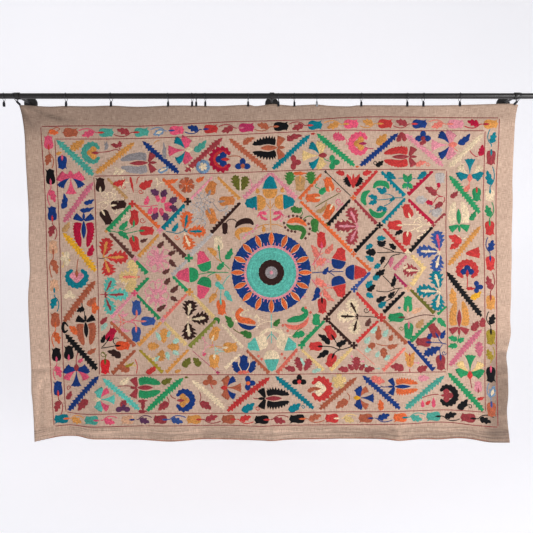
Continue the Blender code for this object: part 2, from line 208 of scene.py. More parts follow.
def smoothLine(points, steps=6, pitch=None):
    # a curve through all the points, with so many steps, or steps of about one pitch, between each two
    points = np.asarray(points, dtype=float)
    padded = np.vstack((2 * points[0] - points[1], points, 2 * points[-1] - points[-2]))
    line = []
    for index in range(len(points) - 1):
        a, b, c, d = padded[index:index + 4]
        if pitch:
            steps = max(2, math.ceil(np.linalg.norm(c - b) / pitch))
        for step in range(steps):
            t = step / steps
            line.append(0.5 * (2 * b + (c - a) * t + (2 * a - 5 * b + 4 * c - d) * t ** 2
                               + (3 * b - a - 3 * c + d) * t ** 3))
    line.append(points[-1])
    return np.array(line)


def edgeInPlace(points):
    x, _, z = onCloth(smoothLine(points))
    return x, z


def makeCloth(finish):
    columns, rows = hanging["columns"], hanging["rows"]
    bpy.ops.mesh.primitive_grid_add(x_subdivisions=columns, y_subdivisions=rows, size=2)
    cloth = bpy.context.object
    cloth.name = "suzani_linen"
    cloth.data.name = "suzani_linen"
    spots = np.empty(len(cloth.data.vertices) * 3)
    cloth.data.vertices.foreach_get("co", spots)
    spots = spots.reshape(-1, 3)
    across = (spots[:, 0] + 1) / 2
    down = (1 - spots[:, 1]) / 2
    topX, topZ = edgeInPlace(topEdge)
    hemX, hemZ = edgeInPlace(bottomEdge)
    sideX, sideZ = edgeInPlace(leftEdge)
    farX, farZ = edgeInPlace(rightEdge)
    upper = np.interp(topX[0] + (topX[-1] - topX[0]) * across, topX, topZ)
    lower = np.interp(hemX[0] + (hemX[-1] - hemX[0]) * across, hemX, hemZ)
    z = upper + (lower - upper) * down
    left = np.interp(-z, -sideZ, sideX)
    right = np.interp(-z, -farZ, farX)
    x = left + (right - left) * across
    y = hanging["underRod"] - clothDepth(x, z)
    cloth.data.vertices.foreach_set("co", np.stack((x, y, z), axis=1).ravel())
    weave = cloth.data.uv_layers.new(name="weave") if not cloth.data.uv_layers else cloth.data.uv_layers[0]
    weave.name = "weave"
    corners = np.empty(len(cloth.data.loops), dtype=np.int32)
    cloth.data.loops.foreach_get("vertex_index", corners)
    flat = np.stack((across * hanging["flatSize"][0], (1 - down) * hanging["flatSize"][1]), axis=1)
    weave.data.foreach_set("uv", flat[corners].ravel())
    cloth.data.update()
    shell = cloth.modifiers.new("thickness", "SOLIDIFY")
    shell.thickness = hanging["thickness"]
    shell.offset = 0
    bpy.ops.object.modifier_apply(modifier=shell.name)
    spots = np.empty(len(cloth.data.vertices) * 3)
    cloth.data.vertices.foreach_get("co", spots)
    x, _, z = spots.reshape(-1, 3).T
    # painted light and shade: soft patches from the table above make the linen lighter or darker, kept in the cloth's
    # attribute
    shade = np.ones_like(x)
    for shadeX, shadeZ, reachX, reachZ, amount in paintedLightAndShade:
        shade += amount * np.exp(-((x - shadeX) / reachX) ** 4 - ((z - shadeZ) / reachZ) ** 4)
    # painted shade and highlight along each crease, darker or lighter by the sign of its rise
    for x0, z0, x1, z1, halfWidth, rise in creaseLines:
        shade += ridge(x, z, x0, z0, x1, z1, halfWidth * 0.6, rise * 55)
    wearAndShade = cloth.data.attributes.new("paintedLightAndShade", "FLOAT", "POINT")
    wearAndShade.data.foreach_set("value", np.clip(shade, 0.4, 1.3))
    cloth.data.materials.append(finish)
    bpy.ops.object.shade_smooth()
    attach(cloth, "root")
    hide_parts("cloth")
    cloth.select_set(False)
    return cloth


# how the thread lies: heights over the cloth's face in metres
stitch = {
    "pointSize": 0.0045,  # a picture point on the cloth, for stitch sizes
    "rim": -0.0004,
    "crown": 0.0013,
    "layer": 0.0010,
    "behind": 0.0005,
    "spread": 1.12,       # the edges dip into the cloth, so a row is sewn a little wider than it shows
    "uneven": 0.05,
}

# dyed threads, as red, green and blue out of 255
threads = {
    "red": (208, 58, 56), "crimson": (186, 18, 58), "maroon": (163, 60, 66), "rust": (184, 97, 68),
    "orange": (232, 108, 58), "amber": (222, 152, 78), "yellow": (238, 174, 46), "ochre": (170, 145, 45),
    "cream": (245, 219, 182), "paleYellow": (236, 199, 134), "pink": (232, 88, 118), "lightPink": (233, 148, 160),
    "dustyPink": (214, 114, 134), "magenta": (184, 46, 92), "salmon": (240, 128, 112), "peach": (228, 174, 138),
    "navy": (18, 56, 124), "blue": (52, 84, 150), "paleBlue": (120, 150, 180), "teal": (0, 126, 140),
    "turquoise": (98, 194, 176), "tealGreen": (78, 166, 148), "green": (42, 150, 94), "darkGreen": (62, 124, 56),
    "olive": (106, 104, 38), "tan": (196, 150, 98), "brown": (100, 58, 52), "darkBrown": (52, 27, 23),
    "black": (9, 8, 13), "grey": (158, 150, 150), "plum": (98, 54, 88), "mint": (172, 210, 190),
    "lineRed": (150, 58, 60), "ginger": (212, 130, 70), "paleGrey": (196, 186, 180), "scarlet": (226, 38, 46),
    "flame": (238, 88, 48), "coral": (226, 112, 94), "moss": (136, 138, 60),
}
# leaves with a heart of another thread
hearts = {"paleBlue": "cream"}
piles = {}


def strip(thread, middle, left, right, layer=0, startShape=None, endShape=None, across=4, lean=0.0):
    # a raised band of stitches along a middle line, with its own half width on each side
    middle = np.asarray(middle, dtype=float)
    left = np.asarray(left, dtype=float)
    right = np.asarray(right, dtype=float)
    count = len(middle)
    wobble = np.array([1 + chance.uniform(-1, 1) * stitch["uneven"] for _ in range(count)])
    spread = np.linspace(-1, 1, across + 1)
    along = np.gradient(middle, axis=0)
    along /= np.linalg.norm(along, axis=1)[:, None] + 1e-9
    side = np.stack((-along[:, 1], along[:, 0]), axis=1)
    offset = np.where(spread[None, :] < 0, left[:, None], right[:, None]) * spread[None, :] * wobble[:, None]
    offset *= stitch["spread"]
    spots = middle[:, None, :] + side[:, None, :] * offset[:, :, None]
    spots += along[:, None, :] * (np.abs(offset) * lean)[:, :, None]
    for row, shape in ((0, startShape), (count - 1, endShape)):
        if shape is not None:
            sign = 1 if row else -1
            spots[row] += sign * along[row] * np.interp(spread, np.linspace(-1, 1, len(shape)), shape)[:, None]
    height = np.tile(1 - np.abs(spread) ** 3, (count, 1))
    height[0] = 0
    height[-1] = 0
    fullness = np.clip((left + right) / 3.0, 0.62, 1)[:, None]
    lift = stitch["rim"] + height * (stitch["crown"] - stitch["rim"]) * fullness + layer * stitch["layer"]
    run = np.concatenate(([0], np.cumsum(np.linalg.norm(np.diff(middle, axis=0), axis=1))))
    u = np.repeat(run[:, None], across + 1, axis=1) * stitch["pointSize"] + chance.uniform(0, 1)
    v = offset * stitch["pointSize"] + chance.uniform(0, 1)
    pile = piles.setdefault(thread, {"spots": [], "lift": [], "uv": [], "faces": [], "tone": [], "back": [], "size": 0})
    first = pile["size"]
    grid = first + np.arange(count * (across + 1)).reshape(count, across + 1)
    quads = np.stack((grid[:-1, :-1], grid[:-1, 1:], grid[1:, 1:], grid[1:, :-1]), axis=2).reshape(-1, 4)
    pile["spots"].append(spots.reshape(-1, 2))
    pile["lift"].append(lift.ravel())
    pile["uv"].append(np.stack((u.ravel(), v.ravel()), axis=1))
    pile["faces"].append(quads)
    pile["tone"].append(np.full(len(quads), chance.uniform(0, 1)))
    pile["size"] += count * (across + 1)
    if layer == 0:
        pile["back"].append((spots[:, ::across // 2, :], u[:, ::across // 2], v[:, ::across // 2], fullness))


def bowed(x0, y0, x1, y1, bend, shares):
    start = np.array((x0, y0), dtype=float)
    run = np.array((x1, y1), dtype=float) - start
    side = np.array((-run[1], run[0]))
    shares = np.asarray(shares)[:, None]
    return start + run * shares + side * bend * 4 * shares * (1 - shares)


def leaf(thread, x0, y0, x1, y1, width, bend=0.0, layer=0, jag=0.24):
    # broad near the stem, toothed along both edges and drawn out to a tip
    shares = np.array((0, 0.04, 0.11, 0.19, 0.29, 0.39, 0.5, 0.61, 0.73, 0.84, 0.93, 1))
    half = width / 2 * np.sin(np.pi * shares ** 0.62) ** 0.85 * 1.06
    teeth = np.array((0, 0.3, 0.7, 0.2, -0.9, 0.1, 0.9, -0.9, 0.1, 0.8, 0, 0))
    half[-1] = 0.05
    middle = bowed(x0, y0, x1, y1, bend, shares)
    strip(thread, middle, half * (1 + jag * teeth), half * (1 + jag * np.roll(teeth, 1)), layer, lean=0.3)
    if thread in hearts:
        lens(hearts[thread], *middle[2], *middle[8], width * 0.5, layer + 1)


def lens(thread, x0, y0, x1, y1, width, layer=0, blunt=0.8):
    shares = np.array((0, 0.06, 0.2, 0.36, 0.5, 0.64, 0.8, 0.94, 1))
    half = width / 2 * np.sin(np.pi * shares) ** blunt + 0.04
    strip(thread, bowed(x0, y0, x1, y1, 0, shares), half, half, layer)


def tulip(thread, core, x0, y0, x1, y1, width):
    # a cup from its round base to a flared and notched mouth, with a drop of another thread at the base
    shares = np.array((0, 0.05, 0.14, 0.28, 0.46, 0.64, 0.8, 0.95, 1))
    half = width / 2 * np.array((0.36, 0.74, 1.0, 1.12, 1.08, 0.93, 0.88, 1.04, 1.14))
    length = math.hypot(x1 - x0, y1 - y0)
    mouth = np.array((0.1, -0.12, 0.02, 0.1, 0.02, -0.12, 0.1)) * length
    strip(thread, bowed(x0, y0, x1, y1, 0, shares), half, half, 0, (-0.3, -0.1, 0, 0, 0, -0.1, -0.3), mouth, 6)
    if core:
        runX, runY = x1 - x0, y1 - y0
        lens(core, x0 - runX * 0.08, y0 - runY * 0.08, x0 + runX * 0.42, y0 + runY * 0.42, width * 0.3, 1)


def petal(thread, x0, y0, x1, y1, startHalf, endHalf, layer=0, round_=0.14, power=1.4, bend=0.0):
    # narrow at the flower's heart and wide at its scalloped end
    shares = np.array((0, 0.06, 0.22, 0.4, 0.58, 0.76, 0.92, 1))
    length = math.hypot(x1 - x0, y1 - y0)
    half = startHalf + (endHalf - startHalf) * shares ** power
    edge = np.array((-1, -0.35, -0.5, 0, -0.35, 0, -0.5, -0.35, -1)) * round_ * length
    strip(thread, bowed(x0, y0, x1, y1, bend, shares), half, half, layer, None, edge, 8)


def stem(thread, points, width=1.3, layer=0, pitch=1.8):
    middle = smoothLine(points, 0, pitch)
    half = np.full(len(middle), width / 2)
    half[-1] *= 0.6
    strip(thread, middle, half, half, layer, across=2)


def ribbon(thread, points, widths, layer=0, jag=0.0):
    # a shape of changing width along a curve
    steps = 4
    middle = smoothLine(points, steps)
    half = np.interp(np.arange(len(middle)) / steps, np.arange(len(widths)), widths) / 2
    half = half * (1 - jag * (np.arange(len(middle)) % 2))
    strip(thread, middle, half, half, layer)


def bar(thread, x0, y0, x1, y1, width=7.0, pitch=3.5):
    # a diagonal feather with barbs along both edges
    length = math.hypot(x1 - x0, y1 - y0)
    barbs = max(3, round(length / pitch))
    shares, half = [0.0], [0.25]
    for barb in range(barbs):
        fullness = chance.uniform(0.88, 1.12)
        for share, wide in ((0.02, 0.55), (0.4, 0.86), (0.72, 1.16), (0.93, 0.8)):
            shares.append((barb + share) / barbs)
            half.append(wide * fullness)
    shares.append(1.0)
    half.append(0.2)
    shares = np.array(shares)
    ends = np.minimum(1, np.minimum(0.4 + 5 * shares, 0.3 + 7 * (1 - shares)))
    half = np.array(half) * ends * width * 0.47
    strip(thread, bowed(x0, y0, x1, y1, chance.uniform(-0.012, 0.012), shares), half, np.roll(half, 1), lean=0.25)


def saw(thread, x0, y0, x1, y1, width=4.0, side=1, pitch=4.0):
    # a lattice line with teeth on one side, growing from a fine start
    length = math.hypot(x1 - x0, y1 - y0)
    teeth = max(3, round(length / pitch))
    shares, wide = [0.0], [0.1]
    for tooth in range(teeth):
        for share, height in ((0.06, 0.45), (0.7, 1.0), (0.95, 0.55)):
            shares.append((tooth + share) / teeth)
            wide.append(height)
    shares.append(1.0)
    wide.append(0.1)
    shares = np.array(shares)
    grow = 0.55 + 0.45 * np.minimum(1, shares * 1.6)
    toothed = np.array(wide) * grow * width * 0.84
    plain = np.full(len(shares), width * 0.3)
    plain[0] = 0.2
    plain[-1] = 0.2
    line = bowed(x0, y0, x1, y1, 0, shares)
    if side > 0:
        strip(thread, line, plain, toothed)
    else:
        strip(thread, line, toothed, plain)


def turned(x, y, angle, distance):
    return x + math.cos(math.radians(angle)) * distance, y + math.sin(math.radians(angle)) * distance


def arc(x, y, radius, start, end, steps):
    return [turned(x, y, start + (end - start) * step / steps, radius) for step in range(steps + 1)]


def dot(thread, x, y, radius, layer=0):
    lens(thread, x - radius, y, x + radius, y, radius * 2, layer)


def rosette(thread, calyx, x, y, radius):
    # seven notched petals round a small calyx
    for turn in range(7):
        angle = 90 + 360 * (turn + 0.5) / 7
        petal(thread, *turned(x, y, angle, radius * 0.2), *turned(x, y, angle, radius), 0.8, radius * 0.34, 0, 0.2, 0.7)
    for turn in (-70, -20, 30, 80):
        stem(calyx, [turned(x, y, 90, radius * 0.8), (x, y), turned(x, y, turn - 90, radius * 0.75)], 1.1, 1)


def clover(thread, x, y, reach, angle, spread=95, layer=0, core=None):
    for turn in (-spread, 0, spread):
        foot = turned(x, y, angle + turn, reach * 0.05)
        lens(thread, *foot, *turned(x, y, angle + turn, reach), reach * 0.78, layer, 0.5)
    dot(thread, x, y, reach * 0.26, layer)
    if core:
        dot(core, x, y, reach * 0.3, layer + 1)


def star(thread, x, y, reach, arms=4, turn=0, layer=0):
    for arm in range(arms):
        tipX, tipY = turned(x, y, turn + 360 * arm / arms, reach)
        petal(thread, x, y, tipX, tipY, reach * 0.26, reach * 0.38, layer, 0.2, 0.8)


def curl(thread, x, y, radius, start, sweep=400, width=1.1):
    # a thin spiral closing on its centre
    turns = 14
    points = [turned(x, y, start + sweep * step / turns, radius * (1 - 0.75 * step / turns)) for step in range(turns + 1)]
    stem(thread, points, width, 0, 3)


def oak(thread, vein, x0, y0, x1, y1, width, layer=0):
    # a lobed leaf with a vein of another thread
    shares = np.linspace(0, 1, 28)
    lobes = 0.54 + 0.58 * np.abs(np.sin(shares * math.pi * 4.5 + 0.3))
    half = width / 2 * np.sin(np.pi * shares) ** 0.6 * lobes
    half[0] = 0.2
    half[-1] = 0.3
    middle = bowed(x0, y0, x1, y1, 0, shares)
    strip(thread, middle, half, np.roll(half, 1) * 0.5 + half * 0.5, layer, lean=0.42)
    if vein:
        stemLine = bowed(x0, y0, x0 + (x1 - x0) * 0.86, y0 + (y1 - y0) * 0.86, 0, (-0.1, 0.3, 0.6, 0.9, 1))
        veinHalf = np.array((0.5, 1.1, 1.4, 1.2, 0.2)) * width * 0.095
        strip(vein, stemLine, veinHalf, veinHalf, layer + 1, across=2)
        for share, turn in ((0.38, 46), (0.5, -46)):
            foot = (x0 + (x1 - x0) * share, y0 + (y1 - y0) * share)
            angle = math.degrees(math.atan2(y1 - y0, x1 - x0)) + turn
            tip = turned(*foot, angle, width * 0.28)
            stem(vein, [foot, turned(*foot, angle, width * 0.14), tip], width * 0.12, layer + 1)


def carnation(thread, x, y, radius, opening, heart=None, core=None, inner=None, jag=0.14):
    # a scalloped ring that stays open where its stem comes in, with a clover inside
    steps = 39
    line = arc(x, y, radius * 0.7, opening + 27, opening + 333, steps)
    shares = np.linspace(0, 1, steps + 1)
    full = np.minimum(1, 0.3 + 5 * np.minimum(shares, 1 - shares))
    tooth = np.array((0, 1, 0.6))[np.arange(steps + 1) % 3]
    outside = radius * 0.3 * full * (1 + jag * 1.3 * (2 * tooth - 1))
    strip(thread, line, outside, radius * 0.27 * full)
    if inner:
        band = np.full(steps - 7, radius * 0.1)
        strip(inner, arc(x, y, radius * 0.6, opening + 50, opening + 310, steps - 8), band, band, 1)
    if heart:
        clover(heart, *turned(x, y, opening, radius * 0.12), radius * 0.62, opening + 180, 88, 1)
    if core:
        lens(core, *turned(x, y, opening + 180, radius * 0.1), *turned(x, y, opening, radius * 0.62), radius * 0.24, 2)


def fan(x0, y0, x1, y1, middle, petals, sides, core):
    # a flower of five petals spread from its core: one straight on, two beside it, two swept back
    reach = math.hypot(x1 - x0, y1 - y0)
    angle = math.degrees(math.atan2(y1 - y0, x1 - x0))
    petal(middle, *turned(x0, y0, angle, reach * 0.08), x1, y1, 0.35, reach * 0.34, 0, 0.14, 2.1)
    for sign in (-1, 1):
        foot = turned(x0, y0, angle + sign * 30, reach * 0.1)
        petal(petals, *foot, *turned(x0, y0, angle + sign * 42, reach * 0.84), 0.3, reach * 0.22, 0, 0.3, 0.9, sign * 0.1)
        foot = turned(x0, y0, angle + sign * 92, reach * 0.08)
        petal(sides, *foot, *turned(x0, y0, angle + sign * 96, reach * 0.64), 0.9, reach * 0.28, 0, 0.5, 0.4, sign * -0.18)
    if core:
        lens(core, *turned(x0, y0, angle, reach * 0.16), *turned(x0, y0, angle + 180, reach * 0.28), reach * 0.24, 1)


def palmette(x0, y0, x1, y1, width, calyx, halves, heart, jag=0.1):
    # two long halves round a lens, on a calyx of two wings
    run = Vector((x1 - x0, y1 - y0))
    side = Vector((-run.y, run.x)).normalized() * width / 2
    start = Vector((x0, y0))
    for sign in (-1, 1):
        wingStart = start + run * 0.2 + side * sign * 0.06
        wingEnd = start + run * 0.05 + side * sign * 0.96
        petal(calyx, *wingStart, *wingEnd, width * 0.04, width * 0.2, 0, 0.3, 0.8)
        points = [start + run * 0.24 + side * sign * 0.54, start + run * 0.45 + side * sign * 0.62,
                  start + run * 0.72 + side * sign * 0.54, start + run * 1.0 + side * sign * 0.34]
        middle = smoothLine(points, 6)
        shares = np.linspace(0, 1, len(middle))
        half = np.interp(shares, (0, 0.06, 0.3, 0.7, 0.94, 1), (0.14, 0.22, 0.25, 0.21, 0.09, 0.02)) * width
        outer = half * (1 - jag * 2 * (np.arange(len(middle)) % 2))
        inner = half * np.interp(shares, (0, 0.4, 1), (0.9, 0.6, 0.9))
        if sign > 0:
            strip(halves, middle, inner, outer)
        else:
            strip(halves, middle, outer, inner)
    lens(heart, *(start + run * 0.2), *(start + run * 0.74), width * 0.2, 1)
    lens(calyx, *(start - run * 0.04), *(start + run * 0.2), width * 0.12, 1)


def twoTone(x0, y0, x1, y1, width, foot, mouth):
    # a bell with a domed foot in one thread, drawn in to a small notched mouth in another
    middleX, middleY = x0 + (x1 - x0) * 0.44, y0 + (y1 - y0) * 0.44
    shares = np.array((0, 0.08, 0.25, 0.5, 0.75, 0.93, 1))
    half = width / 2 * np.array((0.3, 0.56, 0.82, 1.0, 1.08, 1.08, 1.06))
    strip(foot, bowed(x0, y0, middleX, middleY, 0, shares), half, half, across=6)
    half = width / 2 * np.array((1.06, 1.04, 0.95, 0.78, 0.62, 0.6, 0.8))
    length = math.hypot(x1 - middleX, y1 - middleY)
    edge = np.array((0.12, -0.16, 0, 0.14, 0, -0.16, 0.12)) * length
    startX, startY = middleX - (x1 - x0) * 0.01, middleY - (y1 - y0) * 0.01
    strip(mouth, bowed(startX, startY, x1, y1, 0, shares), half, half, 0, None, edge, 6)


def vine(thread, hub, tail, outward, side, leafThread=None):
    # a stem that swings round one side of a leaf and runs on to the next tulip
    hub, tail = np.array(hub), np.array(tail)
    run = tail - hub
    outward = np.array(outward) * side

    def at(share, height):
        return hub + run * share + outward * height

    stem(thread, [at(-0.08, 0), at(0.1, 0.2), at(0.26, 2.6), at(0.5, 3.9), at(0.78, 3.3), at(1.02, 1.6)], 1.4)
    base, tip = at(0.16, 0.4), at(0.84, -3.2)
    leaf(leafThread or thread, *base, *tip, 6.2, 0, 0, 0.3)


# the bands between the two outer lines: middle line in picture points, and the side that faces the edge
bands = {
    "top": {
        "outward": (0, -1),
        "middle": ((46, 133.8), (58, 133.5), (136, 132.3), (180, 129.5), (226, 127.6), (270, 125.9), (316, 124.4),
                   (340, 123.6), (370, 123.2), (400, 123.8), (450, 124.6), (496, 125.5)),
        # tulips: thread, core, base, mouth; vines: thread, start beside a core, end at a mouth, side of the stem
        "row": (
            ("rust", "rust", 64.5, 78), ("pink", 97.5, 79, 1), ("tealGreen", "red", 99, 113), ("maroon", 132.5, 113.5, -1),
            ("tealGreen", "red", 134, 148), ("paleBlue", 166, 150, 1), ("pink", "blue", 169, 183), ("navy", 201, 184, -1),
            ("red", "navy", 203.5, 217), ("maroon", 236, 218, 1), ("magenta", "dustyPink", 238.5, 253.5),
            ("rust", 271.5, 254, -1), ("black", "rust", 273.5, 288), ("maroon", 306.5, 289, 1), ("teal", "red", 308, 322),
            ("amber", 342, 324, 1), ("pink", "amber", 344, 358), ("amber", 376, 360, -1), ("red", "amber", 378, 392),
            ("maroon", 410, 393, -1), ("navy", "red", 412, 426), ("salmon", 445, 428, 1), ("lightPink", "salmon", 447, 462),
            ("crimson", 480, 463, -1), ("amber", "crimson", 482, 495),
        ),
    },
    "left": {
        "outward": (-1, 0),
        "middle": ((49.8, 137), (50.2, 150), (51.2, 174), (52.3, 198), (53.2, 230), (53.9, 261), (54.8, 293),
                   (56.5, 341), (57.3, 357), (59.8, 399), (60.5, 416)),
        "row": (
            ("pink", "red", 150, 137), ("rust", 152, 169, -1), ("black", "pink", 185, 170), ("pink", 187, 206, 1),
            ("navy", "red", 221, 207), ("maroon", 223, 240, -1), ("peach", "rust", 254, 241), ("rust", 256, 278, 1),
            ("peach", "teal", 292, 280), ("teal", 295, 312, -1), ("rust", "orange", 327, 313), ("orange", 329, 347, 1),
            ("black", "pink", 361, 348), ("pink", 363, 380, 1), ("navy", "red", 395, 381), ("maroon", 397, 414, -1),
        ),
    },
    "bottom": {
        "outward": (0, 1),
        "middle": ((56, 418), (72, 417.3), (88.9, 419.9), (104, 420), (140, 419.5), (186, 420), (226, 419.8), (260, 420.6),
                   (283, 420), (316, 419), (380, 418.3), (406.8, 417.3), (442.5, 415.4), (460, 416.2), (474, 417.5), (494, 418)),
        "row": (
            ("teal", "orange", 70, 56.5), ("amber", 71, 85, -1), ("tealGreen", "pink", 99, 86), ("pink", 102, 118, -1),
            ("peach", "navy", 134, 122), ("plum", 137, 152, -1), ("maroon", "blue", 167, 154), ("blue", 168, 186, -1),
            ("amber", "red", 201, 187), ("maroon", 202, 221, 1), ("rust", "red", 235, 222), ("red", 237, 254, 1),
            ("black", "red", 269, 255), ("maroon", 271, 289, -1), ("black", "orange", 305, 290), ("rust", 306, 325, 1),
            ("red", "cream", 339, 326), ("paleYellow", 342, 357, -1), ("rust", "navy", 373, 359.5), ("navy", 375, 393, 1),
            ("orange", "teal", 407, 394), ("tealGreen", 408, 425, -1), ("tealGreen", "black", 440, 426.5),
            ("black", 441, 459, 1), ("maroon", "black", 474, 460), ("black", 475, 492, -1),
        ),
    },
    "right": {
        "outward": (1, 0),
        "middle": ((490.2, 128), (489.9, 146), (489.2, 169), (488.7, 215), (489.8, 272), (489.9, 333), (489.5, 357),
                   (489.4, 381), (489.5, 425)),
        "row": (
            ("teal", 147, 130, -1), ("maroon", "teal", 151, 165), ("teal", 189, 167, 1), ("cream", "teal", 190, 201),
            ("green", 220, 202, 1), ("red", "green", 221, 235), ("navy", 254, 237, -1), ("red", "navy", 256, 270),
            ("maroon", 293, 272, 1), ("amber", "maroon", 295, 309), ("black", 327, 311, -1), ("ochre", "black", 329, 344),
            ("ochre", 362, 346, 1), ("black", "pink", 366, 381), ("paleBlue", 399, 382, -1), ("rust", "blue", 401, 415),
        ),
    },
}


def sewBands():
    for band in bands.values():
        middle = np.array(band["middle"], dtype=float)
        lengthwise = 0 if band["outward"][0] == 0 else 1

        def place(value):
            other = np.interp(value, middle[:, lengthwise], middle[:, 1 - lengthwise])
            return (value, other) if lengthwise == 0 else (other, value)

        for row in band["row"]:
            if isinstance(row[1], str):
                thread, core, base, mouth = row
                tulip(thread, core, *place(base), *place(mouth), 8.2)
            else:
                thread, hub, tail, side = row
                vine(thread, place(hub), place(tail), band["outward"], side)


# the three dark red lines that frame the fields
frameLines = (
    ((42.7, 127.7), (100, 126), (136, 126.1), (180, 123.7), (226, 121.2), (270, 120), (316, 118.7), (340, 117.3),
     (370, 116.6), (400, 117), (450, 118.4), (497, 119.4)),
    ((497, 119.4), (496.5, 146), (495, 180), (495, 214.8), (495.5, 272), (495.7, 320), (495.1, 357), (495.4, 425.4)),
    ((495.4, 425.4), (473.8, 424.1), (442.5, 421.4), (406.8, 423.7), (380, 424.6), (316, 425.5), (283, 426),
     (260, 427), (226, 425.8), (168, 426.2), (140, 425.8), (104, 426.4), (88.9, 426.1), (72, 423.8), (56, 424.8)),
    ((56, 424.8), (53.7, 399), (50.9, 357), (48.8, 309), (47.4, 261), (46.1, 198), (43.7, 150), (42.7, 127.7)),
    ((56.1, 139.9), (136, 138.3), (226, 134.2), (316, 130.2), (359, 129.6), (406, 130.6), (483.5, 131.7)),
    ((483.5, 131.7), (483, 169), (482.4, 214.8), (484.1, 272), (484.2, 333), (483.6, 381), (483.6, 411)),
    ((483.6, 411), (460.4, 409.8), (442.5, 409.4), (415.7, 410.7), (380, 412), (329, 412.6), (260, 414),
     (186, 413.8), (140, 413.3), (88.9, 413.7), (67.4, 411)),
    ((67.4, 411), (65.9, 399), (62.8, 341), (61.2, 293.5), (59.6, 229.7), (57.4, 174.3), (56.1, 139.9)),
    ((93.6, 176.1), (136, 175), (226, 172.2), (316, 169), (400, 169), (446.6, 170)),
    ((446.6, 170), (446.6, 193), (446.2, 218), (446.6, 250), (446.9, 273), (447.5, 325), (447.5, 343), (447.1, 371.7)),
    ((447.1, 371.7), (400, 373), (360, 374.2), (310, 374.8), (270, 375.6), (226, 375.6), (180, 375.5),
     (135, 375.5), (99.6, 375.2)),
    ((99.6, 375.2), (98.6, 343), (98.3, 324), (97.1, 268), (96.4, 255), (95.2, 218), (94.6, 193), (93.6, 176.1)),
)

# feathers of the main field: thread, start, end, width
bars = (
    ("tealGreen", 57.5, 141, 93, 175, 8), ("amber", 134, 142, 96, 173, 7), ("navy", 142, 141, 178, 172, 7),
    ("maroon", 222, 137, 185, 171, 7), ("rust", 229, 138, 267, 169, 7), ("teal", 310, 134, 273, 168, 7),
    ("green", 317, 133, 355, 165, 7), ("navy", 398, 133, 361, 165, 7), ("lightPink", 405, 134, 443, 166, 6.5),
    ("cream", 481, 135, 449, 167, 6.5), ("green", 449, 176, 479, 213, 7.5), ("amber", 480, 226, 449, 265, 6.5),
    ("black", 447, 272, 481, 316, 7), ("dustyPink", 481, 329, 449.7, 365.3, 7), ("green", 447.8, 373, 481.3, 409.6, 7.5),
    ("tealGreen", 444, 375.5, 405.7, 408.7, 7), ("navy", 363, 376.4, 400, 408.8, 7), ("rust", 357.2, 377.9, 320.1, 410, 6.5),
    ("teal", 275.4, 377.3, 313.7, 409.1, 7), ("red", 269.6, 378.2, 227.3, 411.9, 7), ("cream", 191, 381, 223.7, 409, 6.5),
    ("green", 182.7, 378.5, 147.1, 411, 7.5), ("turquoise", 102.4, 378.6, 139, 409.5, 7), ("navy", 98.5, 376, 70, 409.5, 7),
    ("black", 65.5, 334.3, 96.8, 369.3, 7.5), ("rust", 94.6, 280.8, 64.6, 321.4, 8), ("yellow", 63, 233, 95, 271, 8),
    ("dustyPink", 93, 182, 64, 222, 7),
)

